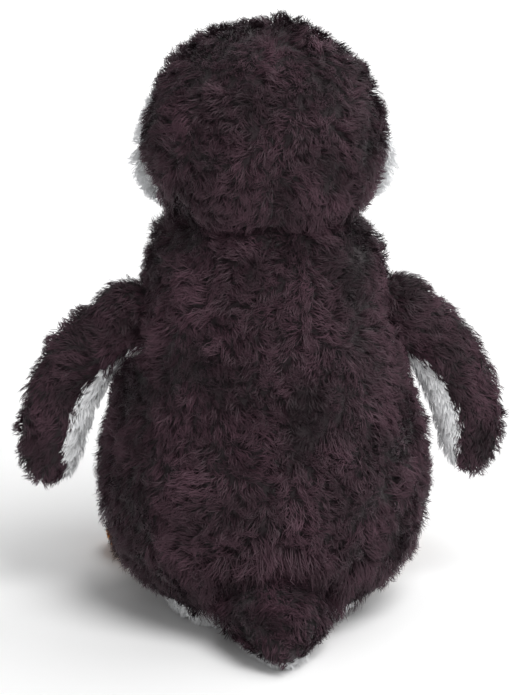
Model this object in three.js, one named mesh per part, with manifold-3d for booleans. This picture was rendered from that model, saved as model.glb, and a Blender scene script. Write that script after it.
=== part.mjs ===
// A sitting plush penguin: a pear-shaped dark torso with a white belly, a round head, two curved
// flippers, two orange feet and a flat pointed tail. Millimetres, +Z up. The face looks along -Y and
// the tail points along +Y. The toy's own left side is +X. The origin is the middle of the rest face.

import * as THREE from "three";
import { mergeVertices } from "three/addons/utils/BufferGeometryUtils.js";
import Module from "manifold-3d";

const wasm = await Module();
wasm.setup();

// Colours of the fabrics and fittings.
const DARK_PLUSH = 0x32282d;
const WHITE_PLUSH = 0xdfe3e8;
const ORANGE_PLUSH = 0xe39a2c;
const STUFFING = 0xf2f0ea;
const THREAD = 0x241c20;
const LINING = 0x3a3035;
const EYE_BLACK = 0x0b0a0c;
const WASHER = 0xd8d8d4;
const PELLET_CLOTH = 0xcfc6b4;
const LABEL_SATIN = 0xf4f4f2;

// Fabric and gaps.
const GAP = 0.3; // clearance between pieces that touch
const SEAM = GAP / 2; // half of the slit between two panels
const PLUSH = 8; // backing and standing pile together, on the torso and head
const SHORT_PLUSH = 5; // the same on the flippers, tail and feet
const PACKED = 0.4; // space between a panel's inside and the filling
const INNER_SHARE = 0.6; // how finely a hidden face is divided, against an outer one
const FAR = 400; // longer than the toy in every direction
const WELD = 1e-3; // points nearer than this are one point
const BALL_RINGS = 12;
const ROD_SIDES = 24;
const OUTLINE_POINTS = 24; // points along a smooth belly outline
const HINGE_ROOM = 0.8; // clearance round a tail or foot that turns in its hollow

// Torso.
const TORSO_SIDE = [
  [50, 0],
  [67, 14],
  [82, 32],
  [91, 56],
  [93.5, 78],
  [91, 100],
  [84, 128],
  [75.5, 160],
]; // half-width and height of the side outline, from the base to the shoulder
const TORSO_DEPTH = [
  [0, 0.95, 1.22],
  [14, 0.93, 1.1],
  [40, 0.92, 1.01],
  [80, 0.92, 0.96],
  [130, 0.95, 0.95],
  [188, 1, 1],
]; // height, then the front and back depth as shares of the half-width
const TORSO_SIDES = 24;
const TORSO_STEPS = 9;
const DOME_STEPS = 4;
const INNER_TORSO_SIDES = 16; // hidden faces are coarser
const INNER_TORSO_STEPS = 6;
const PROFILE_POINTS = 80; // points at which the back's depth is known
const BASE_THICKNESS = 7;

// Neck: the torso ends in a ball that the head turns on.
const NECK = new THREE.Vector3(0, 0, 188);
const NECK_BALL = 68.5;
const NECK_CUP = NECK_BALL + 1.5;
const NECK_OPENING = 238; // height where the torso's panels end and the filling goes on
const NECK_THREAD_ELEVATION = THREE.MathUtils.degToRad(39.8);
const NECK_THREAD_RADIUS = 1.2;
const NECK_THREAD_GAP = 0.5; // from the ball
const NECK_THREAD_SIDES = 6;

// Head.
const HEAD = new THREE.Vector3(0, 0, 279);
const HEAD_HALF = new THREE.Vector3(68.5, 66, 67);
const HEAD_FRONT = 64;
const CHEEK = { share: 0.13, y: -22, z: 257, depth: 24, height: 26 };
const HEAD_SIDES = 24;
const HEAD_RINGS = 12;
const FACE_EDGE = -6; // y of the seam down each side of the face

// Eyes and beak.
const EYE = { turn: 27, rise: 9, radius: 8.5, dome: 8, seat: 4, rim: 1, stem: 2.2, depth: 16 };
const EYE_WELL_ROOM = 0.4;
const EYE_STEPS = 4;
const EYE_SIDES = 14;
const EYE_WASHER = { radius: 7.5, thickness: 1.4, depth: 11.8 };
const BEAK_HEIGHT = 266;
const BEAK_START = -52;
const BEAK_TIP = -91;
const BEAK_TIP_DROP = 3;
const BEAK_HALF_WIDTH = 15;
const BEAK_RISE = 10;
const BEAK_FALL = 7;
const BEAK_NARROWING = 0.55; // share of the width lost at the tip
const BEAK_LOWERING = 0.35; // share of the height lost at the tip
const BEAK_POD = { blunt: 2.6, rings: 7, sides: 12 };
const BEAK_MOUTH = 263; // height of the seam between the upper and lower beak
const BEAK_FABRIC = 2.4;

// Flippers, in a frame at the shoulder: x outwards, y backwards, z up.
const SHOULDER = new THREE.Vector3(77, 0, 173);
const FLIPPER_TWIST = THREE.MathUtils.degToRad(20);
const FLIPPER_ROOT = 19.5;
const FLIPPER_START = [-10, 7];
const FLIPPER_BEND = [53, -33];
const FLIPPER_TIP = [49, -102];
const FLIPPER_OUTER = { root: 19, tip: 17 }; // reach to the outer edge
const FLIPPER_INNER = { root: 12.9, growth: 13.3, narrowing: 8.7 }; // reach to the inner edge
const FLIPPER_HALF_THICKNESS = { root: 10, tip: 8 };
const FLIPPER_POD = { blunt: 3.2, rings: 9, sides: 10 };
const FLIPPER_ROOT_SIDES = 14;
const FLIPPER_ROOT_RINGS = 8;
const GUSSET_THICKNESS = 2;
const GUSSET_RADIUS = FLIPPER_ROOT + 0.6;
const SOCKET_RADIUS = GUSSET_RADIUS + GUSSET_THICKNESS + 0.6;
const SOCKET_SIDES = 18;
const SOCKET_RINGS = 10;
const GUSSET_STEPS = 3;
const GUSSET_SIDES = 16;
const GUSSET_SPREAD = THREE.MathUtils.degToRad(36);

// Feet, in a frame at the heel's seam: y backwards, z up.
const HEEL = new THREE.Vector3(43, -62, 11.5);
const FOOT_SPLAY = THREE.MathUtils.degToRad(28);
const FOOT_HEEL_RADIUS = 11;
const FOOT_LENGTH = 57;
const FOOT_DROP = 2; // how much lower the foot's middle is at the toes
const FOOT_HALF_WIDTH = 27;
const FOOT_WIDTHS = { heel: 0.68, toes: 1.02 }; // shares of the half-width
const FOOT_TOE_HEIGHT = 0.78; // height over the middle at the toes, as a share of the heel's
const FOOT_DEPTH = 14; // reach below the middle, which the floor cuts flat
const FOOT_POD = { blunt: 2.8, rings: 9, sides: 18 };
const TOES = 3;
const TOE_DEPTH = 3;
const TOE_START = 0.55; // share of the foot's length where the toes part
const FOOT_LIFT = THREE.MathUtils.degToRad(25);
const FOOT_SEAM = 6; // height of the seam between the upper and the sole
const FOOT_PLUSH = 3;

// Tail, hinged on a cross line behind the torso.
const TAIL_HINGE = new THREE.Vector3(0, 84, 22.5);
const TAIL_ROOT_RADIUS = 21.5;
const TAIL_BEND = 8; // from the hinge back to where the tail begins to fall
const TAIL_HALF_WIDTH = 32;
const TAIL_FULL_SHARE = 0.28; // share of its length over which the tail keeps its full width
const TAIL_TIP = new THREE.Vector3(0, 136, 8);
const TAIL_TIP_HALF_WIDTH = 9;
const TAIL_TIP_RISE = 7;
const TAIL_SEAM = 7; // height of the seam between the dark and the white side
const TAIL_POD = { blunt: 3, rings: 9, sides: 14 };
const TAIL_SIDE_ROOM = 1.5; // clearance beside the tail
const TAIL_SLOT_START = 6; // from the hinge forward to the start of the slot under the tail's root

// Belly and face outlines, seen from the front: half-width and height, from the bottom up.
const BELLY_OUTLINE = [
  [38, -5],
  [52, 30],
  [59, 70],
  [57, 115],
  [48, 160],
  [37, 200],
  [28, 228],
  [26, 250],
];
const FACE_OUTLINE = [
  [82, 205],
  [82, 276],
  [60, 302],
  [34, 318],
  [13, 315],
  [0, 302],
];

// Weight, closing seam and label.
const PELLETS = { radius: 38, height: 24, edge: 3, bottom: BASE_THICKNESS + GAP };
const PELLET_STEPS = 4;
const PELLET_SIDES = 20;
const CLOSING_SEAM = [56, 70, 84, 98, 112];
const CLOSING_THREAD_RADIUS = 0.9;
const CLOSING_DEPTH = 0.4; // how far the thread lies under the surface
const CLOSING_STEPS = 8;
const CLOSING_SIDES = 3;
const LABEL = new THREE.Vector3(24, 40, 0.8);
const LABEL_CENTRE = new THREE.Vector3(0, -62, 3.2);

// ---- Making and cutting solids ----

/** Moves each point of a geometry with place, which changes the point it is given. */
function reshape(geometry, place) {
  const positions = geometry.attributes.position;
  const point = new THREE.Vector3();
  for (let i = 0; i < positions.count; i += 1) {
    point.fromBufferAttribute(positions, i);
    place(point);
    positions.setXYZ(i, point.x, point.y, point.z);
  }
  return geometry;
}

/** Six times the volume of an indexed mesh, which is negative when its faces point in. */
function signedVolume(positions, index) {
  const [a, b, c] = [new THREE.Vector3(), new THREE.Vector3(), new THREE.Vector3()];
  let sum = 0;
  for (let i = 0; i < index.length; i += 3) {
    a.fromArray(positions, 3 * index[i]);
    b.fromArray(positions, 3 * index[i + 1]);
    c.fromArray(positions, 3 * index[i + 2]);
    sum += a.dot(b.cross(c));
  }
  return sum;
}

/** A closed geometry as a solid that can be joined and cut. */
function solid(geometry) {
  const bare = geometry.clone();
  bare.deleteAttribute("normal");
  bare.deleteAttribute("uv");
  const merged = mergeVertices(bare, WELD);
  const positions = merged.attributes.position.array;
  const index = [];
  for (let i = 0; i < merged.index.count; i += 3) {
    const [a, b, c] = merged.index.array.slice(i, i + 3);
    if (a !== b && b !== c && c !== a) index.push(a, b, c);
  }
  if (signedVolume(positions, index) < 0) index.reverse();
  return new wasm.Manifold(
    new wasm.Mesh({
      numProp: 3,
      vertProperties: new Float32Array(positions),
      triVerts: new Uint32Array(index),
    }),
  );
}

/** A solid as a geometry that a mesh can show. */
function geometryOf(body) {
  const mesh = body.getMesh();
  const geometry = new THREE.BufferGeometry();
  geometry.setAttribute("position", new THREE.BufferAttribute(mesh.vertProperties, 3));
  geometry.setIndex(new THREE.BufferAttribute(mesh.triVerts, 1));
  geometry.computeVertexNormals();
  return geometry;
}

/** A box between two corners. */
function block(x0, y0, z0, x1, y1, z1) {
  const box = new THREE.BoxGeometry(x1 - x0, y1 - y0, z1 - z0);
  return solid(box.translate((x0 + x1) / 2, (y0 + y1) / 2, (z0 + z1) / 2));
}

/** A rod along X, centred on a point. */
function crossRod(centre, radius, length) {
  const cylinder = new THREE.CylinderGeometry(radius, radius, length, ROD_SIDES);
  cylinder.rotateZ(-Math.PI / 2);
  return solid(cylinder.translate(centre.x, centre.y, centre.z));
}

/** A ball of rings about the upright axis. */
function ball(centre, radius, sides = TORSO_SIDES, rings = BALL_RINGS) {
  const sphere = new THREE.SphereGeometry(radius, sides, rings);
  sphere.rotateX(Math.PI / 2);
  return solid(sphere.translate(centre.x, centre.y, centre.z));
}

/** A thread or cutter of round section along a curve. */
function tube(curve, radius, steps, sides) {
  const section = new THREE.Shape();
  section.absarc(0, 0, radius, 0, 2 * Math.PI);
  return solid(
    new THREE.ExtrudeGeometry(section, {
      extrudePath: curve,
      steps,
      curveSegments: sides,
      bevelEnabled: false,
    }),
  );
}

/** Everything in front of y, inside an outline given as half-widths and heights. */
function frontRegion(outline, y, grow, smooth) {
  const right = outline.map(([x, z]) => new THREE.Vector2(x + grow, z + grow));
  const ends = right[right.length - 1].x > grow ? right : right.slice(0, -1);
  const left = [...ends].reverse().map((p) => new THREE.Vector2(-p.x, p.y));
  const corners = [...right, ...left];
  const edge = smooth ? new THREE.SplineCurve(corners).getPoints(OUTLINE_POINTS) : corners;
  const slab = new THREE.ExtrudeGeometry(new THREE.Shape(edge), { depth: FAR, bevelEnabled: false });
  slab.rotateX(Math.PI / 2);
  return solid(slab.translate(0, y, 0));
}

/**
 * A rounded soft body along a path. section gives its reach to each side, up and down at a share of
 * the way along. A higher blunt makes squarer ends, and inset makes the same body smaller all round.
 */
function pod({ path, up, section, blunt, inset = 0, rings, sides }) {
  const ends = inset / path.getLength();
  const share = inset > 0 ? INNER_SHARE : 1;
  const divisions = [2 * Math.round((sides * share) / 2), Math.round(rings * share)];
  const sphere = new THREE.SphereGeometry(1, ...divisions);
  return reshape(sphere, (point) => {
    const along = Math.min(Math.abs(point.y), 1);
    const fullness = Math.pow(1 - Math.pow(along, blunt), 1 / blunt);
    const way = ends + ((1 - 2 * ends) * (1 - point.y)) / 2;
    const angle = Math.atan2(point.z, point.x);
    const reach = section(way);
    const tangent = path.getTangentAt(way);
    const side = new THREE.Vector3().crossVectors(up, tangent).normalize();
    const rise = new THREE.Vector3().crossVectors(tangent, side);
    const across = (Math.cos(angle) > 0 ? reach.inner : reach.outer) - inset;
    const height = (Math.sin(angle) > 0 ? reach.top : reach.bottom) - inset;
    point.copy(path.getPointAt(way));
    point.addScaledVector(side, across * fullness * Math.cos(angle));
    point.addScaledVector(rise, height * fullness * Math.sin(angle));
  });
}

/** A value read off a list of [position, ...values] rows, with straight lines between the rows. */
function between(rows, position, column) {
  const next = rows.findIndex((row) => row[0] >= position);
  if (next <= 0) return rows[next < 0 ? rows.length - 1 : 0][column];
  const [a, b] = [rows[next - 1], rows[next]];
  return THREE.MathUtils.lerp(a[column], b[column], (position - a[0]) / (b[0] - a[0]));
}

const DARK = { color: DARK_PLUSH, roughness: 0.95 };
const WHITE = { color: WHITE_PLUSH, roughness: 0.95 };
const ORANGE = { color: ORANGE_PLUSH, roughness: 0.9 };
const FILLING = { color: STUFFING, roughness: 1 };

/** A named piece with its own material. */
function piece(name, geometry, look) {
  const mesh = new THREE.Mesh(geometry, new THREE.MeshStandardMaterial({ metalness: 0, ...look }));
  mesh.name = name;
  return mesh;
}

/** The same geometry on the other side of the toy, with its faces still pointing out. */
function mirrored(geometry) {
  const other = geometry.clone();
  reshape(other, (point) => point.setX(-point.x));
  other.index.array.reverse();
  other.computeVertexNormals();
  return other;
}

// ---- Outer forms, each of which an inset makes smaller all round ----

/** The torso up to and over the neck ball. */
function torsoForm(inset) {
  const side = new THREE.SplineCurve([
    ...TORSO_SIDE.map(([x, z]) => new THREE.Vector2(x, z)),
    new THREE.Vector2(NECK_BALL, NECK.z),
  ]);
  const profile = [new THREE.Vector2(0, 0)];
  const steps = inset > 0 ? INNER_TORSO_STEPS : TORSO_STEPS;
  for (const point of side.getSpacedPoints(steps)) {
    profile.push(new THREE.Vector2(point.x - inset, point.y));
  }
  for (let i = 1; i <= DOME_STEPS; i += 1) {
    const angle = (Math.PI / 2) * (i / DOME_STEPS);
    const radius = (NECK_BALL - inset) * Math.cos(angle);
    const height = NECK.z + (NECK_BALL - inset) * Math.sin(angle);
    profile.push(new THREE.Vector2(i === DOME_STEPS ? 0 : radius, height));
  }
  const turned = new THREE.LatheGeometry(profile, inset > 0 ? INNER_TORSO_SIDES : TORSO_SIDES);
  turned.rotateX(Math.PI / 2);
  return reshape(turned, (point) => {
    const share = between(TORSO_DEPTH, point.z, point.y < 0 ? 1 : 2);
    point.y *= share;
  });
}

/** The torso's back depth at a height, on its outer surface. */
function backDepth(z) {
  const side = new THREE.SplineCurve(TORSO_SIDE.map(([x, height]) => new THREE.Vector2(height, x)));
  const points = side.getPoints(PROFILE_POINTS).map((p) => [p.x, p.y]);
  return between(points, z, 1) * between(TORSO_DEPTH, z, 2);
}

/** The round head with full cheeks. */
function headForm(inset) {
  const share = inset > 0 ? INNER_SHARE : 1;
  const [sides, rings] = [HEAD_SIDES * share, HEAD_RINGS * share].map(Math.round);
  const sphere = new THREE.SphereGeometry(1, sides, rings);
  sphere.rotateX(Math.PI / 2);
  return reshape(sphere, (point) => {
    point.x *= HEAD_HALF.x - inset;
    point.y *= (point.y < 0 ? HEAD_FRONT : HEAD_HALF.y) - inset;
    point.z *= HEAD_HALF.z - inset;
    point.add(HEAD);
    const forward = (point.y - CHEEK.y) / CHEEK.depth;
    const above = (point.z - CHEEK.z) / CHEEK.height;
    point.x *= 1 + CHEEK.share * Math.exp(-forward * forward - above * above);
  });
}

function beakForm(inset) {
  const path = new THREE.LineCurve3(
    new THREE.Vector3(0, BEAK_START, BEAK_HEIGHT),
    new THREE.Vector3(0, BEAK_TIP, BEAK_HEIGHT - BEAK_TIP_DROP),
  );
  const section = (t) => {
    const width = BEAK_HALF_WIDTH * (1 - BEAK_NARROWING * t);
    const height = 1 - BEAK_LOWERING * t;
    return { inner: width, outer: width, top: BEAK_RISE * height, bottom: BEAK_FALL * height };
  };
  return pod({ path, up: new THREE.Vector3(0, 0, 1), section, inset, ...BEAK_POD });
}

/** A flipper: a flat round root at the shoulder and a paddle that curves out and down. */
function flipperForm(inset) {
  const path = new THREE.QuadraticBezierCurve3(
    new THREE.Vector3(FLIPPER_START[0], 0, FLIPPER_START[1]),
    new THREE.Vector3(FLIPPER_BEND[0], 0, FLIPPER_BEND[1]),
    new THREE.Vector3(FLIPPER_TIP[0], 0, FLIPPER_TIP[1]),
  );
  const section = (t) => {
    const inner = FLIPPER_INNER.root + FLIPPER_INNER.growth * t - FLIPPER_INNER.narrowing * t * t;
    const outer = THREE.MathUtils.lerp(FLIPPER_OUTER.root, FLIPPER_OUTER.tip, t * t);
    const thick = THREE.MathUtils.lerp(FLIPPER_HALF_THICKNESS.root, FLIPPER_HALF_THICKNESS.tip, t);
    return { inner, outer, top: thick, bottom: thick };
  };
  const paddle = pod({ path, up: new THREE.Vector3(0, 1, 0), section, inset, ...FLIPPER_POD });
  const root = new THREE.SphereGeometry(1, FLIPPER_ROOT_SIDES, FLIPPER_ROOT_RINGS);
  const half = FLIPPER_HALF_THICKNESS.root - inset;
  root.rotateX(Math.PI / 2);
  root.scale(FLIPPER_ROOT - inset, half, FLIPPER_ROOT - inset);
  return solid(paddle).add(solid(root));
}

/** A foot: a round heel at the seam, a widening flat body and three toes. */
function footForm(inset) {
  const path = new THREE.LineCurve3(
    new THREE.Vector3(0, FOOT_HEEL_RADIUS, 0),
    new THREE.Vector3(0, -FOOT_LENGTH, -FOOT_DROP),
  );
  const section = (t) => {
    const width = FOOT_HALF_WIDTH * THREE.MathUtils.lerp(FOOT_WIDTHS.heel, FOOT_WIDTHS.toes, t);
    const top = FOOT_HEEL_RADIUS * THREE.MathUtils.lerp(1, FOOT_TOE_HEIGHT, t);
    return { inner: width, outer: width, top, bottom: FOOT_DEPTH };
  };
  const body = pod({ path, up: new THREE.Vector3(0, 0, 1), section, inset, ...FOOT_POD });
  reshape(body, (point) => {
    const front = THREE.MathUtils.smoothstep(-point.y, TOE_START * FOOT_LENGTH, FOOT_LENGTH);
    const parting = 1 - Math.cos((TOES * Math.PI * point.x) / FOOT_HALF_WIDTH);
    point.y += TOE_DEPTH * front * parting;
  });
  const floor = GAP - HEEL.z + inset;
  return solid(body).intersect(block(-FAR, -FAR, floor, FAR, FAR, FAR));
}

/** The tail: a round cross root that fits its hollow, and a flat wedge that narrows to the tip. */
function tailForm(inset) {
  const root = TAIL_ROOT_RADIUS;
  const path = new THREE.QuadraticBezierCurve3(
    new THREE.Vector3(0, TAIL_HINGE.y - root, TAIL_HINGE.z),
    new THREE.Vector3(0, TAIL_HINGE.y + TAIL_BEND, TAIL_HINGE.z),
    new THREE.Vector3(0, TAIL_TIP.y, TAIL_TIP.z),
  );
  const section = (t) => {
    const narrowing = Math.max(0, (t - TAIL_FULL_SHARE) / (1 - TAIL_FULL_SHARE));
    const width = THREE.MathUtils.lerp(TAIL_HALF_WIDTH, TAIL_TIP_HALF_WIDTH, narrowing);
    const rise = THREE.MathUtils.lerp(root, TAIL_TIP_RISE, narrowing);
    return { inner: width, outer: width, top: rise, bottom: rise };
  };
  const whole = solid(pod({ path, up: new THREE.Vector3(0, 0, 1), section, inset, ...TAIL_POD }));
  const behind = block(-FAR, TAIL_HINGE.y, GAP + inset, FAR, FAR, FAR);
  return whole.intersect(crossRod(TAIL_HINGE, root - inset, FAR).add(behind));
}

// ---- Solids that cut the pieces ----

const outerTorso = solid(torsoForm(0));
const innerTorso = solid(torsoForm(PLUSH));
const outerHead = solid(headForm(0));
const innerHead = solid(headForm(PLUSH));
const leftHalf = block(SEAM, -FAR, -FAR, FAR, FAR, FAR);
const rightHalf = block(-FAR, -FAR, -FAR, -SEAM, FAR, FAR);
const headCup = ball(NECK, NECK_CUP);

/** A foot's form at its place on the left of the toy, lifted by an angle about its heel. */
function placedFoot(form, lift) {
  const turn = new THREE.Matrix4().makeRotationZ(FOOT_SPLAY);
  const place = new THREE.Matrix4().makeTranslation(HEEL.x, HEEL.y, HEEL.z);
  const matrix = place.multiply(turn).multiply(new THREE.Matrix4().makeRotationX(-lift));
  return solid(geometryOf(form).applyMatrix4(matrix));
}

/** The room that the joints need in the torso: both shoulder sockets, the tail's and the feet's. */
function torsoClearance() {
  const tailWidth = TAIL_HALF_WIDTH + TAIL_SIDE_ROOM;
  const slotStart = TAIL_HINGE.y - TAIL_SLOT_START;
  let room = crossRod(TAIL_HINGE, TAIL_ROOT_RADIUS + HINGE_ROOM, 2 * tailWidth);
  room = room.add(block(-tailWidth, slotStart, -FAR, tailWidth, FAR, TAIL_HINGE.z));
  room = room.add(ball(SHOULDER, SOCKET_RADIUS, SOCKET_SIDES, SOCKET_RINGS));
  for (const lift of [0, FOOT_LIFT]) {
    room = room.add(placedFoot(footForm(-HINGE_ROOM), lift));
  }
  return room.add(solid(mirrored(geometryOf(room))));
}

const clearance = torsoClearance();
const bellyCut = frontRegion(BELLY_OUTLINE, 0, GAP, true);
const faceCut = frontRegion(FACE_OUTLINE, FACE_EDGE, GAP, false);

// ---- Torso ----

function closingPath() {
  const depth = CLOSING_THREAD_RADIUS + CLOSING_DEPTH;
  return new THREE.CatmullRomCurve3(
    CLOSING_SEAM.map((z) => new THREE.Vector3(0, backDepth(z) - depth, z)),
  );
}

function torsoPieces() {
  const above = block(-FAR, -FAR, BASE_THICKNESS + GAP, FAR, FAR, NECK_OPENING);
  const below = block(-FAR, -FAR, -FAR, FAR, FAR, BASE_THICKNESS);
  const skin = outerTorso.subtract(innerTorso).intersect(above).subtract(clearance);
  const groove = tube(closingPath(), CLOSING_THREAD_RADIUS + GAP, CLOSING_STEPS, CLOSING_SIDES);
  const dark = skin.subtract(bellyCut).subtract(groove);
  const belly = skin.intersect(frontRegion(BELLY_OUTLINE, 0, 0, true));
  const base = outerTorso.intersect(below).subtract(clearance);

  const pelletShape = (grow) => {
    const radius = PELLETS.radius + grow;
    const floor = PELLETS.bottom - grow;
    const arc = [new THREE.Vector2(0, floor), new THREE.Vector2(radius - PELLETS.edge, floor)];
    for (let i = 0; i <= PELLET_STEPS; i += 1) {
      const angle = (Math.PI / 2) * (i / PELLET_STEPS);
      const reach = i === PELLET_STEPS ? 0 : radius * Math.cos(angle);
      const rise = (PELLETS.height - PELLETS.edge + grow) * Math.sin(angle);
      arc.push(new THREE.Vector2(reach, PELLETS.bottom + PELLETS.edge + rise));
    }
    return solid(new THREE.LatheGeometry(arc, PELLET_SIDES).rotateX(Math.PI / 2));
  };
  const core = solid(torsoForm(PLUSH + PACKED));
  const plug = ball(NECK, NECK_BALL - GAP).intersect(
    block(-FAR, -FAR, NECK_OPENING + GAP, FAR, FAR, FAR),
  );
  const stuffing = core
    .intersect(block(-FAR, -FAR, BASE_THICKNESS + GAP, FAR, FAR, FAR))
    .add(plug)
    .subtract(pelletShape(GAP))
    .subtract(clearance);

  const label = new THREE.BoxGeometry(LABEL.x, LABEL.y, LABEL.z);
  label.translate(0, LABEL_CENTRE.y, LABEL_CENTRE.z);
  const labelPiece = solid(label).subtract(solid(torsoForm(-GAP)));
  const stitch = tube(closingPath(), CLOSING_THREAD_RADIUS, CLOSING_STEPS, CLOSING_SIDES);

  return [
    piece("back_left", geometryOf(dark.intersect(leftHalf)), DARK),
    piece("back_right", geometryOf(dark.intersect(rightHalf)), DARK),
    piece("belly", geometryOf(belly), WHITE),
    piece("base", geometryOf(base), WHITE),
    piece("torso_stuffing", geometryOf(stuffing), FILLING),
    piece("pellet_bag", geometryOf(pelletShape(0)), { color: PELLET_CLOTH, roughness: 0.9 }),
    piece("closing_thread", geometryOf(stitch), { color: THREAD, roughness: 0.7 }),
    piece("care_label", geometryOf(labelPiece), { color: LABEL_SATIN, roughness: 0.5 }),
  ];
}

// ---- Neck and head ----

function neckThread() {
  const reach = NECK_BALL + NECK_THREAD_GAP + NECK_THREAD_RADIUS;
  const ring = new THREE.TorusGeometry(
    reach * Math.cos(NECK_THREAD_ELEVATION),
    NECK_THREAD_RADIUS,
    NECK_THREAD_SIDES,
    TORSO_SIDES,
  );
  ring.translate(0, 0, NECK.z + reach * Math.sin(NECK_THREAD_ELEVATION));
  return piece("neck_thread", ring, { color: THREAD, roughness: 0.7 });
}

/** Where an eye sits on the left of the head, and the way it looks. */
function eyeSeat() {
  const turn = THREE.MathUtils.degToRad(EYE.turn);
  const rise = THREE.MathUtils.degToRad(EYE.rise);
  const way = new THREE.Vector3(
    Math.sin(turn) * Math.cos(rise),
    -Math.cos(turn) * Math.cos(rise),
    Math.sin(rise),
  );
  const half = new THREE.Vector3(HEAD_HALF.x, HEAD_FRONT, HEAD_HALF.z);
  const reach = 1 / way.clone().divide(half).length();
  return { way, surface: HEAD.clone().addScaledVector(way, reach) };
}

/** A piece turned about the eye's axis, from a profile of radii and heights above the surface. */
function onEye(profile) {
  const { way, surface } = eyeSeat();
  const turned = new THREE.LatheGeometry(
    profile.map(([radius, height]) => new THREE.Vector2(radius, height)),
    EYE_SIDES,
  );
  turned.applyQuaternion(
    new THREE.Quaternion().setFromUnitVectors(new THREE.Vector3(0, 1, 0), way),
  );
  return solid(turned.translate(surface.x, surface.y, surface.z));
}

function eye() {
  const dome = [];
  for (let i = 0; i <= EYE_STEPS; i += 1) {
    const angle = (Math.PI / 2) * (i / EYE_STEPS);
    const radius = i === EYE_STEPS ? 0 : EYE.radius * Math.cos(angle);
    dome.push([radius, -EYE.seat + EYE.dome * Math.sin(angle)]);
  }
  const rim = -EYE.seat - EYE.rim;
  return onEye([[0, -EYE.depth], [EYE.stem, -EYE.depth], [EYE.stem, rim], [EYE.radius, rim], ...dome]);
}

function eyeWasher() {
  const top = -EYE_WASHER.depth;
  const bottom = top - EYE_WASHER.thickness;
  const hole = EYE.stem + GAP;
  return onEye([
    [hole, bottom],
    [EYE_WASHER.radius, bottom],
    [EYE_WASHER.radius, top],
    [hole, top],
    [hole, bottom],
  ]);
}

/** What the eye, its stem and its washer take out of the face and the filling. */
function eyeRoom() {
  const well = EYE.radius + EYE_WELL_ROOM;
  const floor = -EYE.seat - EYE.rim - GAP;
  const hole = EYE.stem + GAP;
  const seat = onEye([[0, floor], [well, floor], [well, EYE.depth], [0, EYE.depth]]);
  const stem = onEye([[0, -EYE.depth], [hole, -EYE.depth], [hole, 0], [0, 0]]);
  const bottom = -EYE.depth - GAP;
  const radius = EYE_WASHER.radius + GAP;
  const pocket = onEye([[0, bottom], [radius, bottom], [radius, 0], [0, 0]]);
  return { face: bothSides(seat.add(stem)), filling: bothSides(pocket) };
}

function bothSides(body) {
  return body.add(solid(mirrored(geometryOf(body))));
}

function headPieces() {
  const room = eyeRoom();
  const skin = outerHead.subtract(innerHead).subtract(headCup);
  const dark = skin.subtract(faceCut);
  const face = skin.intersect(frontRegion(FACE_OUTLINE, FACE_EDGE, 0, false)).subtract(room.face);
  const stuffing = solid(headForm(PLUSH + PACKED)).subtract(headCup).subtract(room.filling);

  const grownHead = solid(headForm(-GAP));
  const beak = solid(beakForm(0)).subtract(grownHead);
  const beakInside = solid(beakForm(BEAK_FABRIC));
  const aboveMouth = block(-FAR, -FAR, BEAK_MOUTH + SEAM, FAR, FAR, FAR);
  const belowMouth = block(-FAR, -FAR, -FAR, FAR, FAR, BEAK_MOUTH - SEAM);
  const beakShell = beak.subtract(beakInside);
  const beakCore = solid(beakForm(BEAK_FABRIC + GAP)).subtract(grownHead);

  const pieces = [
    piece("head_back_left", geometryOf(dark.intersect(leftHalf)), DARK),
    piece("head_back_right", geometryOf(dark.intersect(rightHalf)), DARK),
    piece("face_left", geometryOf(face.intersect(leftHalf)), WHITE),
    piece("face_right", geometryOf(face.intersect(rightHalf)), WHITE),
    piece("head_stuffing", geometryOf(stuffing), FILLING),
    piece("beak_upper", geometryOf(beakShell.intersect(aboveMouth)), ORANGE),
    piece("beak_lower", geometryOf(beakShell.intersect(belowMouth)), ORANGE),
    piece("beak_stuffing", geometryOf(beakCore), FILLING),
  ];
  const gloss = { color: EYE_BLACK, roughness: 0.12 };
  const plastic = { color: WASHER, roughness: 0.5 };
  const eyeShape = geometryOf(eye());
  const washerShape = geometryOf(eyeWasher());
  pieces.push(piece("eye_left", eyeShape, gloss), piece("eye_right", mirrored(eyeShape), gloss));
  pieces.push(piece("eye_washer_left", washerShape, plastic));
  pieces.push(piece("eye_washer_right", mirrored(washerShape), plastic));
  return pieces;
}

// ---- Flippers, feet and tail ----

/** The cloth cup between a flipper's root and the torso, around the shoulder's inward side. */
function gusset() {
  const profile = [];
  const outer = GUSSET_RADIUS + GUSSET_THICKNESS;
  for (let i = 0; i <= GUSSET_STEPS; i += 1) {
    const angle = GUSSET_SPREAD * (i / GUSSET_STEPS);
    profile.push(new THREE.Vector2(outer * Math.sin(angle), outer * Math.cos(angle)));
  }
  for (let i = GUSSET_STEPS; i >= 0; i -= 1) {
    const angle = GUSSET_SPREAD * (i / GUSSET_STEPS);
    profile.push(new THREE.Vector2(GUSSET_RADIUS * Math.sin(angle), GUSSET_RADIUS * Math.cos(angle)));
  }
  return geometryOf(solid(new THREE.LatheGeometry(profile, GUSSET_SIDES).rotateZ(Math.PI / 2)));
}

/** The two panels and the filling of a form that a seam plane splits. */
function split(form, fabric, first, second) {
  const shell = form(0).subtract(form(fabric));
  return {
    first: geometryOf(shell.intersect(first)),
    second: geometryOf(shell.intersect(second)),
    filling: geometryOf(form(fabric + PACKED)),
  };
}

/** The pieces of one side, given for the left and mirrored for the right. */
function sided(side, geometry) {
  return side === "left" ? geometry : mirrored(geometry);
}

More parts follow.
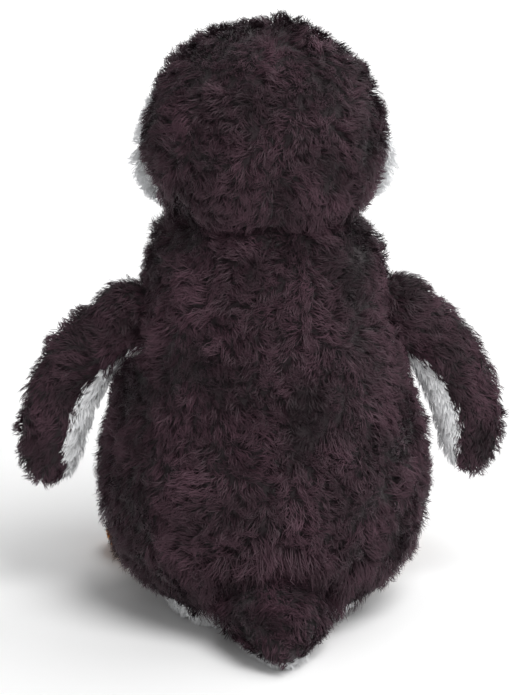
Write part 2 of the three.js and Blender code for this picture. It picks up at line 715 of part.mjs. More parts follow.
function flipper(side) {
  const sign = side === "left" ? 1 : -1;
  const back = block(-FAR, SEAM, -FAR, FAR, FAR, FAR);
  const front = block(-FAR, -FAR, -FAR, FAR, -SEAM, FAR);
  const parts = split(flipperForm, SHORT_PLUSH, back, front);
  const group = new THREE.Group();
  group.add(
    piece(`flipper_outer_${side}`, sided(side, parts.first), DARK),
    piece(`flipper_inner_${side}`, sided(side, parts.second), WHITE),
    piece(`flipper_stuffing_${side}`, sided(side, parts.filling), FILLING),
  );
  group.rotation.z = -sign * FLIPPER_TWIST;
  const shoulder = new THREE.Group();
  shoulder.position.set(sign * SHOULDER.x, SHOULDER.y, SHOULDER.z);
  const cloth = { color: LINING, roughness: 0.9 };
  shoulder.add(group, piece(`shoulder_gusset_${side}`, sided(side, gusset()), cloth));
  return shoulder;
}

function foot(side) {
  const sign = side === "left" ? 1 : -1;
  const seamHeight = FOOT_SEAM - HEEL.z;
  const above = block(-FAR, -FAR, seamHeight + SEAM, FAR, FAR, FAR);
  const under = block(-FAR, -FAR, -FAR, FAR, FAR, seamHeight - SEAM);
  const parts = split(footForm, FOOT_PLUSH, above, under);
  const group = new THREE.Group();
  group.add(
    piece(`foot_upper_${side}`, sided(side, parts.first), ORANGE),
    piece(`foot_sole_${side}`, sided(side, parts.second), ORANGE),
    piece(`foot_stuffing_${side}`, sided(side, parts.filling), FILLING),
  );
  group.position.set(sign * HEEL.x, HEEL.y, HEEL.z);
  group.rotation.z = sign * FOOT_SPLAY;
  return group;
}

function tail() {
  const above = block(-FAR, -FAR, TAIL_SEAM + SEAM, FAR, FAR, FAR);
  const under = block(-FAR, -FAR, -FAR, FAR, FAR, TAIL_SEAM - SEAM);
  const parts = split(tailForm, SHORT_PLUSH, above, under);
  const group = new THREE.Group();
  group.add(
    piece("tail_upper", parts.first, DARK),
    piece("tail_under", parts.second, WHITE),
    piece("tail_stuffing", parts.filling, FILLING),
  );
  return group;
}

const penguin = new THREE.Group();
penguin.add(...torsoPieces(), neckThread(), ...headPieces());
penguin.add(flipper("left"), flipper("right"), foot("left"), foot("right"), tail());

export default penguin;
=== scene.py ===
"""Looks of the sitting plush penguin: stuffed panels from a pressure simulation, covered in pile."""

import math

import bmesh
import bpy
import numpy as np
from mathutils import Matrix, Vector
from mathutils.bvhtree import BVHTree
from mathutils.kdtree import KDTree


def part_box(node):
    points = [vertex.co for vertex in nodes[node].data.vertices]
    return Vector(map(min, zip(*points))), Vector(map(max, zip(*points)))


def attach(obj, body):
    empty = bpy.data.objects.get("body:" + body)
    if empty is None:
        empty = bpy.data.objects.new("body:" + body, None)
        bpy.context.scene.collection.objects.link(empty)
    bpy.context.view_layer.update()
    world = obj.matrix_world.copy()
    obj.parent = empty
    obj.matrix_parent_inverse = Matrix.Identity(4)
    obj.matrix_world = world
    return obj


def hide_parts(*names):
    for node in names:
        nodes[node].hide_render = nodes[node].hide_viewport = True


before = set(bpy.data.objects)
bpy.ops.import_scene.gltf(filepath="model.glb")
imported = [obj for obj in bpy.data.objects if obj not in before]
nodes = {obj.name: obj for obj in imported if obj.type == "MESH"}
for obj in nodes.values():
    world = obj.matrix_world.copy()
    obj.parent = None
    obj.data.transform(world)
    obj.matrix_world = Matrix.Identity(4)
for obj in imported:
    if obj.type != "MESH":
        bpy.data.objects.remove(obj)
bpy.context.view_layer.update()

MM = 0.001
scene = bpy.context.scene
UP = np.array([0.0, 0.0, 1.0])
DOWN = np.array([0.0, 0.0, -1.0])

# Places from the record's own frame, in metres.
NECK = np.array([0, 0, 188]) * MM
NECK_SEAM_SINE = math.sin(math.radians(47))
NECK_TOP_SINE = math.sin(math.radians(64))
NECK_REACH = 74 * MM
SHOULDER = np.array([77, 0, 173]) * MM
SHOULDER_ROOM = 24.5 * MM
FLIPPER_TWIST = math.radians(20)
FLIPPER_LINE = np.array([[-10, 7], [53, -33], [49, -102]]) * MM
HEEL = np.array([43, -62, 11.5]) * MM
FOOT_SPLAY = math.radians(28)
SIDES = {"left": 1, "right": -1}


# ---- Small helpers ----


def unit(v):
    return v / np.maximum(np.linalg.norm(v, axis=-1, keepdims=True), 1e-12)


def tangential(v, normal):
    """The part of each vector that lies along the surface, as unit vectors."""
    return unit(v - normal * np.sum(v * normal, axis=-1, keepdims=True))


def turned(v, axis, angle):
    """Each vector v turned about its unit axis by its angle."""
    c, s = np.cos(angle)[:, None], np.sin(angle)[:, None]
    along = np.sum(v * axis, axis=-1, keepdims=True)
    return v * c + np.cross(axis, v) * s + axis * along * (1 - c)


def waves(points, wavelength, seed, count=20):
    """Smooth noise about 0 with a spread near 1, which changes over about a wavelength."""
    rng = np.random.default_rng(seed)
    ways = unit(rng.normal(size=(count, 3))) * rng.uniform(0.7, 1.4, (count, 1))
    phases = rng.uniform(0, 2 * math.pi, count)
    return np.sin(points @ (ways.T * 2 * math.pi / wavelength) + phases).sum(1) * math.sqrt(2 / count)


def layered(points, layers):
    return sum(share * waves(points, wavelength, seed) for wavelength, seed, share in layers)


def smoothstep(x, low, high):
    t = np.clip((x - low) / (high - low), 0, 1)
    return t * t * (3 - 2 * t)


def mirrored(place, side):
    """A place on the toy's left, or its mirror image on the right."""
    return place * np.array([SIDES[side], 1, 1])


def distance(points, place):
    return np.linalg.norm(points - place, axis=1)


def bearing(azimuth, elevation):
    """The direction at an azimuth, counted from the toy's front to its left, and an elevation."""
    flat = math.cos(elevation)
    return np.array([math.sin(azimuth) * flat, -math.cos(azimuth) * flat, math.sin(elevation)])


def read(items, key, width=3, kind=np.float32):
    """The numbers of a mesh's vertices or edges, in rows."""
    flat = np.zeros(len(items) * width, kind)
    items.foreach_get(key, flat)
    return flat.reshape(-1, width)


def coords(mesh):
    return read(mesh.vertices, "co").astype(float)


def set_coords(mesh, points):
    mesh.vertices.foreach_set("co", points.astype(np.float32).ravel())
    mesh.update()


def vertex_normals(mesh):
    return read(mesh.vertices, "normal").astype(float)


def new_object(name, data):
    obj = bpy.data.objects.new(name, data)
    scene.collection.objects.link(obj)
    return obj


def mesh_of(name, points, faces):
    mesh = bpy.data.meshes.new(name)
    mesh.from_pydata([tuple(p) for p in points], [], faces)
    mesh.update()
    return mesh


def strip_faces(rows, sides):
    """Quads between rings of points, each ring with that number of sides."""
    quads = []
    for row in range(rows - 1):
        for i in range(sides):
            j = (i + 1) % sides
            quads.append((row * sides + i, row * sides + j, (row + 1) * sides + j, (row + 1) * sides + i))
    return quads


def fans(faces):
    """Each face as triangles from its first corner."""
    return np.array([(f[0], f[i], f[i + 1]) for f in faces for i in range(1, len(f) - 1)])


def finish_piece(obj, look, body, node):
    obj.data.materials.clear()
    obj.data.materials.append(look)
    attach(obj, body)
    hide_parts(node)


def apply_modifiers(obj):
    """Leaves the object with the mesh that its modifiers make, and no modifiers."""
    graph = bpy.context.evaluated_depsgraph_get()
    made = bpy.data.meshes.new_from_object(obj.evaluated_get(graph))
    obj.modifiers.clear()
    obj.data = made


def smooth_shading(mesh):
    mesh.polygons.foreach_set("use_smooth", np.ones(len(mesh.polygons), bool))
    mesh.update()


# ---- Materials ----


class Material:
    """A Principled material, and short calls that add its procedural nodes."""

    def __init__(self, name, rough, **sockets):
        self.material = bpy.data.materials.new(name)
        self.material.use_nodes = True
        self.tree = self.material.node_tree
        self.shader = self.tree.nodes["Principled BSDF"]
        self.shader.inputs["Roughness"].default_value = rough
        for socket, value in sockets.items():
            self.shader.inputs[socket.replace("_", " ")].default_value = value
        self.place = self.node("ShaderNodeTexCoord", "Object")

    def node(self, kind, output, inputs=None, **settings):
        """Adds a node with other outputs or plain values for its inputs, and returns its output."""
        made = self.tree.nodes.new(kind)
        for key, value in settings.items():
            setattr(made, key, value)
        for socket, value in (inputs or {}).items():
            if isinstance(value, bpy.types.NodeSocket):
                self.tree.links.new(value, made.inputs[socket])
            else:
                made.inputs[socket].default_value = value
        return made.outputs[output]

    def noise(self, scale, detail, rough=0.55):
        inputs = {"Scale": scale, "Detail": detail, "Roughness": rough, "Vector": self.place}
        return self.node("ShaderNodeTexNoise", "Fac", inputs)

    def wave(self, scale, direction):
        inputs = {"Scale": scale, "Vector": self.place}
        return self.node("ShaderNodeTexWave", "Fac", inputs, wave_type="BANDS", bands_direction=direction)

    def attribute(self, name):
        return self.node("ShaderNodeAttribute", "Fac", attribute_name=name)

    def math(self, kind, a, b):
        return self.node("ShaderNodeMath", "Value", {0: a, 1: b}, operation=kind)

    def ramp(self, value, stops):
        made = self.node("ShaderNodeValToRGB", "Color", {"Fac": value})
        band = made.node.color_ramp
        while len(band.elements) < len(stops):
            band.elements.new(0.5)
        for element, (place, colour) in zip(band.elements, stops):
            element.position = place
            element.color = (*colour, 1)
        return made

    def mottled(self, noise, colour, dark, light=1):
        """The colour, darker and lighter by those factors over a noise."""
        return self.ramp(noise, [(0.3, scaled(colour, dark)), (0.7, scaled(colour, light))])

    def spread(self, value, low, high, start=0.0, end=1.0):
        inputs = {"From Min": start, "From Max": end, "To Min": low, "To Max": high, "Value": value}
        return self.node("ShaderNodeMapRange", "Result", inputs)

    def shade(self, colour, value, low, high, start=0.0, end=1.0):
        """The colour made darker or lighter by a value."""
        inputs = {"Factor": 1, "A": colour, "B": self.spread(value, low, high, start, end)}
        return self.node("ShaderNodeMix", "Result", inputs, data_type="RGBA", blend_type="MULTIPLY")

    def colour(self, output):
        self.tree.links.new(output, self.shader.inputs["Base Color"])

    def rough(self, value, low, high):
        self.tree.links.new(self.spread(value, low, high), self.shader.inputs["Roughness"])

    def bump(self, height, distance, strength=0.6):
        inputs = {"Strength": strength, "Distance": distance, "Height": height}
        self.tree.links.new(self.node("ShaderNodeBump", "Normal", inputs), self.shader.inputs["Normal"])


def scaled(colour, factor):
    return tuple(min(1.0, c * factor) for c in colour)


def pile_material(name, colour, root, tip, sheen, tint=(1, 1, 1), lump_shade_and_tone_spread=0.24, painted_sheen_patches=0.65):
    """Standing pile: its colour darker towards the root as painted shade deep in the pile and lighter at the tip as
    painted light, each lock lighter on the pile's lumps and darker in its hollows as painted light and shade with
    random tone besides, and broad patches of painted sheen and shade.
    """
    fuzz = {"Sheen_Weight": sheen, "Sheen_Roughness": 0.4, "Sheen_Tint": (*tint, 1)}
    made = Material(name, 0.5, Specular_IOR_Level=0.2, **fuzz)
    # Painted shade: darker towards the root, deep in the pile; painted light: lighter at the tip.
    stops = [(0.1, scaled(colour, root)), (0.55, colour), (1.0, scaled(colour, tip))]
    output = made.ramp(made.attribute("along"), stops)
    # Painted light and shade on the pile's lumps and hollows, with random tone, from each strand's attribute.
    output = made.shade(output, made.attribute("shade"), 1 - lump_shade_and_tone_spread, 1 + lump_shade_and_tone_spread)
    # Painted sheen and shade: broad lighter and darker patches over the pile.
    output = made.shade(output, made.noise(34, 3), 1 - painted_sheen_patches, 1 + painted_sheen_patches, 0.3, 0.7)
    made.colour(output)
    return made.material


def backing_material(name, colour):
    """The knitted backing that the pile stands on."""
    made = Material(name, rough=0.9, Sheen_Weight=0.2)
    knit = made.math("MULTIPLY", made.wave(420, "X"), made.wave(420, "Z"))
    output = made.mottled(made.noise(60, 4), colour, 0.75, 1.2)
    made.colour(made.shade(output, knit, 0.8, 1.1))
    made.rough(made.noise(150, 3), 0.8, 1.0)
    made.bump(knit, 0.4 * MM)
    return made.material


def woven_material(name, colour, threads, lift, rough=0.85, **sockets):
    """A plain weave with uneven threads."""
    made = Material(name, rough=rough, **sockets)
    weave = made.math("MAXIMUM", made.wave(threads, "X"), made.wave(threads, "Z"))
    output = made.mottled(made.noise(90, 4), colour, 0.85, 1.1)
    made.colour(made.shade(output, weave, 0.8, 1.05))
    made.rough(made.noise(200, 3), rough - 0.12, min(1, rough + 0.1))
    made.bump(weave, lift * MM)
    return made.material


def fibre_material(name, colour):
    """Loose polyester filling."""
    made = Material(name, rough=0.95, Sheen_Weight=0.3)
    tangle = made.noise(260, 8, 0.7)
    made.colour(made.mottled(tangle, colour, 0.7))
    made.rough(made.noise(120, 3), 0.85, 1.0)
    made.bump(tangle, 1.5 * MM, 0.9)
    return made.material


def thread_material(name, colour):
    """Twisted sewing thread."""
    made = Material(name, rough=0.6, Sheen_Weight=0.3)
    twist = made.wave(1400, "DIAGONAL")
    output = made.mottled(made.noise(300, 2), colour, 0.7, 1.4)
    made.colour(made.shade(output, twist, 0.7, 1.1))
    made.rough(made.noise(400, 2), 0.5, 0.75)
    made.bump(twist, 0.15 * MM)
    return made.material


def moulded_material(name, colour, rough, coat=0.0):
    """Moulded plastic with faint flow marks and fine wear."""
    made = Material(name, rough=rough, Coat_Weight=coat, Coat_Roughness=0.05)
    made.colour(made.mottled(made.noise(45, 3), colour, 0.85, 1.15))
    made.rough(made.noise(600, 5, 0.7), max(0.02, rough - 0.05), rough + 0.1)
    made.bump(made.noise(900, 2), 0.02 * MM, 0.3)
    return made.material


DARK = (0.0425, 0.0208, 0.0288)
WHITE = (0.93, 0.935, 0.945)
ORANGE = (0.78, 0.30, 0.03)
# A pile's root factor paints shade deep in the pile, and its tip factor paints light at the tips.
looks = {
    "dark_plush": pile_material("dark pile", DARK, root=0.45, tip=1.3, sheen=0.1, tint=(1.0, 0.8, 0.92)),
    "white_plush": pile_material("white pile", WHITE, root=0.88, tip=1.05, sheen=0.1, lump_shade_and_tone_spread=0.05, painted_sheen_patches=0.04),
    "orange_plush": pile_material(
        "orange pile", ORANGE, root=0.6, tip=1.15, sheen=0.15, tint=(1, 0.85, 0.6), lump_shade_and_tone_spread=0.15, painted_sheen_patches=0.12
    ),
}
backings = {
    "dark_plush": backing_material("dark backing", scaled(DARK, 0.45)),
    "white_plush": backing_material("white backing", scaled(WHITE, 0.85)),
    "orange_plush": backing_material("orange backing", scaled(ORANGE, 0.8)),
}
filling_look = fibre_material("filling", (0.86, 0.85, 0.82))
thread_look = thread_material("thread", (0.02, 0.014, 0.017))
pellet_look = woven_material("pellet cloth", (0.62, 0.56, 0.46), threads=500, lift=0.4)
satin_look = woven_material("satin label", (0.88, 0.88, 0.86), threads=1500, rough=0.4, lift=0.08, Sheen_Weight=0.2)
eye_look = moulded_material("eye plastic", (0.006, 0.005, 0.006), 0.08, coat=0.3)
washer_look = moulded_material("washer plastic", (0.7, 0.7, 0.68), 0.45)


# ---- Stuffed forms ----

PANELS = {
    **dict.fromkeys(["back_left", "back_right", "head_back_left", "head_back_right", "tail_upper"], "dark_plush"),
    **dict.fromkeys(["belly", "base", "face_left", "face_right", "tail_under"], "white_plush"),
    **dict.fromkeys(["beak_upper", "beak_lower"], "orange_plush"),
}
for side in SIDES:
    PANELS[f"flipper_outer_{side}"] = "dark_plush"
    PANELS[f"flipper_inner_{side}"] = "white_plush"
    PANELS[f"foot_upper_{side}"] = "orange_plush"
    PANELS[f"foot_sole_{side}"] = "orange_plush"


def core_mesh(name, parts, voxel, inset):
    """CAD nodes as one closed mesh of even quads, drawn in under their outer surface by inset: a
    depth, or what gives each point's depth."""
    points, faces = [], []
    for node in parts:
        mesh = nodes[node].data
        start = len(points)
        points.extend(coords(mesh))
        faces.extend([start + v for v in p.vertices] for p in mesh.polygons)
    obj = new_object(name, mesh_of(name, points, faces))
    remesh = obj.modifiers.new("Remesh", "REMESH")
    remesh.mode = "VOXEL"
    remesh.voxel_size = voxel
    apply_modifiers(obj)
    keep_largest(obj.data)
    for _ in range(SMOOTH_STEPS):
        relax(obj.data, 1, SMOOTH_SHARE)
        relax(obj.data, 1, -UNSHRINK_SHARE)
    surface = coords(obj.data)
    depth = inset(surface)[:, None] if callable(inset) else inset
    set_coords(obj.data, surface - vertex_normals(obj.data) * depth)
    relax(obj.data, 1, EVEN_SHARE)
    return obj


def keep_largest(mesh):
    """Deletes every loose part of a mesh but the one with the most points."""
    work = bmesh.new()
    work.from_mesh(mesh)
    left = set(work.verts)
    largest = []
    while left:
        group, edge_of_group = [], [left.pop()]
        while edge_of_group:
            vertex = edge_of_group.pop()
            group.append(vertex)
            for edge in vertex.link_edges:
                other = edge.other_vert(vertex)
                if other in left:
                    left.discard(other)
                    edge_of_group.append(other)
        largest = max(largest, group, key=len)
    kept = set(largest)
    bmesh.ops.delete(work, geom=[v for v in work.verts if v not in kept], context="VERTS")
    work.to_mesh(mesh)
    work.free()


def relax(mesh, steps, share):
    """Moves each point towards the middle of its neighbours, or away from it."""
    edges, points = read(mesh.edges, "vertices", 2, np.int32), coords(mesh)
    count = np.bincount(edges.ravel(), minlength=len(points))[:, None]
    for _ in range(steps):
        total = np.zeros_like(points)
        np.add.at(total, edges[:, 0], points[edges[:, 1]])
        np.add.at(total, edges[:, 1], points[edges[:, 0]])
        points += share * (total / np.maximum(count, 1) - points)
    set_coords(mesh, points)


def add_cloth(obj, pressure):
    cloth = obj.modifiers.new("Cloth", "CLOTH")
    for key, value in PLUSH_CLOTH.items():
        setattr(cloth.settings, key, value)
    cloth.settings.uniform_pressure_force = pressure
    cloth.settings.effector_weights.gravity = 0
    cloth.collision_settings.use_collision = False
    cloth.point_cache.frame_start = 1
    cloth.point_cache.frame_end = CLOTH_FRAMES


PLUSH_CLOTH = dict(
    quality=5, use_pressure=True, tension_stiffness=12, compression_stiffness=8, shear_stiffness=5,
    bending_stiffness=1.5,
)
CLOTH_FRAMES = 20
SMOOTH_STEPS = 4
SMOOTH_SHARE = 0.55
UNSHRINK_SHARE = 0.58
EVEN_SHARE = 0.3
SIDEWAYS_SHARE = 0.5


def inflate(forms):
    """Swells every form under pressure, each point held between its least and most move."""
    starts = {}
    for obj, pressure, _, _ in forms:
        starts[obj.name] = (coords(obj.data), vertex_normals(obj.data))
        add_cloth(obj, pressure)
    for number in range(1, CLOTH_FRAMES + 1):
        scene.frame_set(number)
    graph = bpy.context.evaluated_depsgraph_get()
    for obj, _, least, most in forms:
        start, normal = starts[obj.name]
        swollen = start + normal * most
        evaluated = obj.evaluated_get(graph)
        swollen = coords(evaluated.to_mesh())
        evaluated.to_mesh_clear()
        move = swollen - start
        out = np.sum(move * normal, axis=1, keepdims=True)
        across = move - normal * out
        reach = np.maximum(np.linalg.norm(across, axis=1, keepdims=True), 1e-9)
        across *= np.minimum(1, most / reach) * SIDEWAYS_SHARE
        obj.modifiers.clear()
        set_coords(obj.data, start + normal * np.clip(out, least, most) + across)
        relax(obj.data, 2, EVEN_SHARE)
    scene.frame_set(1)


def nearest_panel(points, panels):
    """The number of the CAD panel that each point lies nearest to."""
    trees = []
    for name in panels:
        mesh = nodes[name].data
        faces = [tuple(p.vertices) for p in mesh.polygons]
        trees.append(BVHTree.FromPolygons([tuple(v) for v in coords(mesh)], faces))
    gaps = np.array([[tree.find_nearest(Vector(p))[3] for tree in trees] for p in points])
    return gaps.argmin(1)


def seam_gap(obj, owner):
    """Each vertex's distance from the nearest seam, where two panels meet."""
    points = coords(obj.data)
    first = np.full(len(points), -1)
    on_seam = np.zeros(len(points), bool)
    for polygon, number in zip(obj.data.polygons, owner):
        for v in polygon.vertices:
            if first[v] < 0:
                first[v] = number
            elif first[v] != number:
                on_seam[v] = True
    tree = KDTree(int(on_seam.sum()))
    for i in np.flatnonzero(on_seam):
        tree.insert(points[i], int(i))
    tree.balance()
    return np.array([tree.find(p)[2] for p in points])


def pull_seams(obj, owner, depth, width):
    """Draws the surface in along every seam, as the stitches do, but not over the neck's ball."""
    points = coords(obj.data)
    on_ball = (neck_sine(points) > NECK_SEAM_SINE) & (distance(points, NECK) < NECK_REACH)
    pull = np.where(on_ball, 0, depth * np.exp(-((seam_gap(obj, owner) / width) ** 2)))
    set_coords(obj.data, points - vertex_normals(obj.data) * pull[:, None])


class Form:
    """A finished stuffed form: its surface for growing pile on, and the panel of each face, which
    is the nearest one or the one that pick gives. Seam is the depth and width of the drawn-in seams."""

    def __init__(self, obj, body, panels, pick=None, seam=(1.6 * MM, 5 * MM), thickness=1.4 * MM):
        step = obj.modifiers.new("Subdivision", "SUBSURF")
        step.levels = step.render_levels = 1
        apply_modifiers(obj)
        centres = np.array([p.center for p in obj.data.polygons])
        owner = pick(centres) if pick is not None else nearest_panel(centres, panels)
        pull_seams(obj, owner, *seam)
        mesh = obj.data
        self.points = coords(mesh)
        self.points[:, 2] = np.maximum(self.points[:, 2], FLOOR_GAP)
        self.normals = vertex_normals(mesh)
        quads = [tuple(p.vertices) for p in mesh.polygons]
        self.triangles = fans(quads)
        self.owner = np.repeat(owner, [len(q) - 2 for q in quads])
        self.body = body
        self.seam_gap = seam_gap(obj, owner)
        for number, panel in enumerate(panels):
            self.make_panel(panel, [q for q, n in zip(quads, owner) if n == number], thickness)
        bpy.data.objects.remove(obj)

    def make_panel(self, panel, quads, thickness):
        used = sorted({v for q in quads for v in q})
        index = {v: i for i, v in enumerate(used)}
        mesh = mesh_of(f"skin_{panel}", self.points[used], [[index[v] for v in q] for q in quads])
        skin = new_object(f"skin_{panel}", mesh)
        cloth = skin.modifiers.new("Solidify", "SOLIDIFY")
        cloth.thickness = thickness
        cloth.offset = -1
        apply_modifiers(skin)
        smooth_shading(skin.data)
        finish_piece(skin, backings[PANELS[panel]], self.body, panel)


def neck_sine(points):
    """Sine of each point's elevation, seen from the middle of the neck's ball."""
    return (points[:, 2] - NECK[2]) / distance(points, NECK)


def torso_inset(points):
    """The plush's depth, but none in the hollows that hold the shoulders, the feet and the tail.
    The cloth over the neck's ball lies outside the filling."""
    from_tail = np.hypot(points[:, 1] - TAIL_HINGE[1], points[:, 2] - TAIL_HINGE[2])
    hollow = (from_tail < TAIL_ROOM) & (np.abs(points[:, 0]) < TAIL_HALF_WIDTH)
    for side in SIDES:
        hollow |= distance(points, mirrored(SHOULDER, side)) < SHOULDER_ROOM
        hollow |= distance(points, mirrored(HEEL, side)) < HEEL_ROOM
    depth = np.where(hollow, 0, TORSO_INSET)
    return np.where(neck_sine(points) > NECK_SEAM_SINE, DOME_INSET, depth)


def torso_pick(points):
    """The panels as sewn, with the white base drawn up round the back's lower edge."""
    nearest = nearest_panel(points, TORSO_PARTS)
    return np.where((points[:, 2] < BASE_RISE) & (nearest != 2), 3, nearest)


def above_cheek(points):
    """Height over the cheeks' middle, in cheek heights."""
    return (points[:, 2] - CHEEK[2]) / CHEEK_HEIGHT


def cheek_share(points):
    """1 at the middle of each cheek, and falling to 0 round it."""
    forward = (points[:, 1] - CHEEK[1]) / CHEEK_DEPTH
    beside = smoothstep(np.abs(points[:, 0]), CHEEK_FADE * CHEEK[0], CHEEK[0])
    return np.exp(-(forward**2) - above_cheek(points) ** 2) * beside


def head_inset(points):
    """The plush's depth, less at the full cheeks and none in the cup that sits on the neck."""
    swell = np.where(points[:, 0] > 0, CHEEK_SWELL["left"], CHEEK_SWELL["right"])
    depth = HEAD_INSET - swell * cheek_share(points)
    return np.where(distance(points, NECK) < HEAD_CUP, 0, depth)


def head_pick(points):
    """The panels as sewn, with the face's seam drawn back at the cheeks."""
    above = above_cheek(points)
    seam = FACE_SEAM + CHEEK_BACK * np.exp(-(above**2))
    at_side = np.abs(points[:, 0]) > CHEEK_SIDE * CHEEK[0]
    cheek = (points[:, 1] < seam) & at_side & (np.abs(above) < CHEEK_LIMIT)
    nearest = nearest_panel(points, HEAD_PARTS)
    return np.where(cheek, np.where(points[:, 0] > 0, 2, 3), nearest)


FLOOR_GAP = 0.3 * MM
TORSO_INSET = 1.2 * MM
DOME_INSET = -0.6 * MM
HEAD_INSET = 2.4 * MM
BASE_RISE = 10 * MM
CHEEK = np.array([66, -6, 254]) * MM
CHEEK_DEPTH = 15 * MM
CHEEK_HEIGHT = 18 * MM
CHEEK_SWELL = {"left": 1.5 * MM, "right": 4.5 * MM}
CHEEK_BACK = 13 * MM
CHEEK_FADE = 0.6
CHEEK_SIDE = 0.8
CHEEK_LIMIT = 1.3
FACE_SEAM = -6 * MM
TAIL_HINGE = np.array([0, 84, 22.5]) * MM
TAIL_ROOM = 24 * MM
TAIL_HALF_WIDTH = 34 * MM
HEEL_ROOM = 15 * MM
HEAD_CUP = 71.5 * MM


def flipper_axes(side):
    sign = SIDES[side]
    across = np.array([sign * math.cos(FLIPPER_TWIST), -math.sin(FLIPPER_TWIST), 0])
    back = np.array([sign * math.sin(FLIPPER_TWIST), math.cos(FLIPPER_TWIST), 0])
    return mirrored(SHOULDER, side), across, back


def flipper_place(points, side):
    """For points of a flipper: share along it, distance in from its middle line, distance back,
    and the line's direction there."""
    centre, across, back = flipper_axes(side)
    local = points - centre
    flat = np.stack([local @ across, local[:, 2]], 1)
    share = np.linspace(0, 1, LINE_STEPS)[:, None]
    a, b, c = FLIPPER_LINE
    line = a * (1 - share) ** 2 + 2 * b * share * (1 - share) + c * share**2
    way = unit(2 * (b - a) * (1 - share) + 2 * (c - b) * share)
    nearest = ((flat[:, None] - line[None]) ** 2).sum(2).argmin(1)
    offset = flat - line[nearest]
    inward = offset[:, 0] * way[nearest, 1] - offset[:, 1] * way[nearest, 0]
    world = way[nearest, :1] * across + way[nearest, 1:] * UP
    return share[nearest, 0], inward, local @ back, world


def flipper_pick(side):
    """The white inner panel wraps round the flipper's inner edge and shows from behind. The dark
    one wraps round its outer edge and its root."""

    def pick(points):
        share, inward, behind, _ = flipper_place(points, side)
        edge = WRAP_START + (1 - smoothstep(share, *WRAP_FADE)) * WRAP_NARROWS
        front = -OUTER_WRAP * (1 - smoothstep(inward, *OUTER_EDGE) * smoothstep(share, *OUTER_ROOT))
        return np.where((behind < front) | (inward > edge), 1, 0)

    return pick


LINE_STEPS = 41
WRAP_START = 12 * MM
WRAP_NARROWS = 5 * MM
WRAP_FADE = (0.1, 0.5)
OUTER_WRAP = 5 * MM
OUTER_EDGE = (-10 * MM, 8 * MM)
OUTER_ROOT = (0.1, 0.3)

TORSO_PARTS = ["back_left", "back_right", "belly", "base"]
HEAD_PARTS = ["head_back_left", "head_back_right", "face_left", "face_right"]
TIGHT = dict(seam=(0.6 * MM, 3 * MM), thickness=0.8 * MM)
# Every stuffed form: its body, panels and filling, voxel, inset, pressure, least and most swell, and
# the panels' pick, seam and thickness where they aren't the usual ones.
stuffed = {
    "torso": (
        "torso", TORSO_PARTS, ["torso_stuffing", "pellet_bag"],
        5 * MM, torso_inset, 4, (0.6 * MM, 2.4 * MM), dict(pick=torso_pick),
    ),
    "head": (
        "head", HEAD_PARTS, ["head_stuffing", "eye_washer_left", "eye_washer_right"],
        5 * MM, head_inset, 4, (0.6 * MM, 2.4 * MM), dict(pick=head_pick),
    ),
    "beak": (
        "head", ["beak_upper", "beak_lower"], ["beak_stuffing"],
        1.6 * MM, 1.2 * MM, 3, (0.3 * MM, 0.8 * MM), dict(seam=(0.5 * MM, 1.5 * MM), thickness=0.5 * MM),
    ),
    "tail": (
        "tail", ["tail_upper", "tail_under"], ["tail_stuffing"], 4 * MM, 0.8 * MM, 4, (0.5 * MM, 1.5 * MM), TIGHT,
    ),
}
for side in SIDES:
    stuffed[f"flipper_{side}"] = (
        f"flipper_{side}", [f"flipper_outer_{side}", f"flipper_inner_{side}"], [f"flipper_stuffing_{side}"],
        3.2 * MM, -2.4 * MM, 4, (0.5 * MM, 1.5 * MM), dict(TIGHT, pick=flipper_pick(side)),
    )
    stuffed[f"foot_{side}"] = (
        f"foot_{side}", [f"foot_upper_{side}", f"foot_sole_{side}"], [f"foot_stuffing_{side}"],
        3.5 * MM, -1.0 * MM, 4, (0.4 * MM, 1.0 * MM), dict(seam=(0.5 * MM, 3 * MM), thickness=0.6 * MM),
    )
cores = {
    name: core_mesh(f"{name}_form", panels + filling, voxel, inset)
    for name, (_, panels, filling, voxel, inset, *_) in stuffed.items()
}
inflate([(cores[name], pressure, *swell) for name, (*_, pressure, swell, _) in stuffed.items()])
forms = {name: Form(cores[name], body, panels, **ways) for name, (body, panels, *_, ways) in stuffed.items()}


def cuff_mesh(side):
    """The padded cloth that fills the shoulder's hollow round the flipper's root."""
    centre, across, back = flipper_axes(side)
    points, faces = [centre + UP * CUFF[2]], []
    for ring in range(1, CUFF_RINGS):
        fall = math.pi * ring / CUFF_RINGS
        for i in range(CUFF_SIDES):
            turn = 2 * math.pi * i / CUFF_SIDES
            flat = across * CUFF[0] * math.cos(turn) + back * CUFF[1] * math.sin(turn)
            points.append(centre + flat * math.sin(fall) + UP * CUFF[2] * math.cos(fall))
    points.append(centre - UP * CUFF[2])
    last = (CUFF_RINGS - 2) * CUFF_SIDES + 1
    for i in range(CUFF_SIDES):
        j = (i + 1) % CUFF_SIDES
        faces.append((0, 1 + i, 1 + j))
        for start in range(1, last, CUFF_SIDES):
            faces.append((start + i, start + CUFF_SIDES + i, start + CUFF_SIDES + j, start + j))
        faces.append((last + i, len(points) - 1, last + j))
    if SIDES[side] < 0:
        faces = [face[::-1] for face in faces]
    return mesh_of(f"shoulder_cuff_{side}", points, faces)


class Cuff:
    """A shoulder's cuff as a surface for growing pile on."""

    def __init__(self, side):
        mesh = cuff_mesh(side)
        smooth_shading(mesh)
        self.points = coords(mesh)
        self.normals = vertex_normals(mesh)
        self.triangles = fans([tuple(p.vertices) for p in mesh.polygons])
        self.owner = np.zeros(len(self.triangles), int)
        self.seam_gap = np.ones(len(self.points))
        self.body = f"shoulder_{side}"
        cuff = new_object(f"shoulder_cuff_{side}", mesh)
        finish_piece(cuff, backings["dark_plush"], self.body, f"shoulder_gusset_{side}")


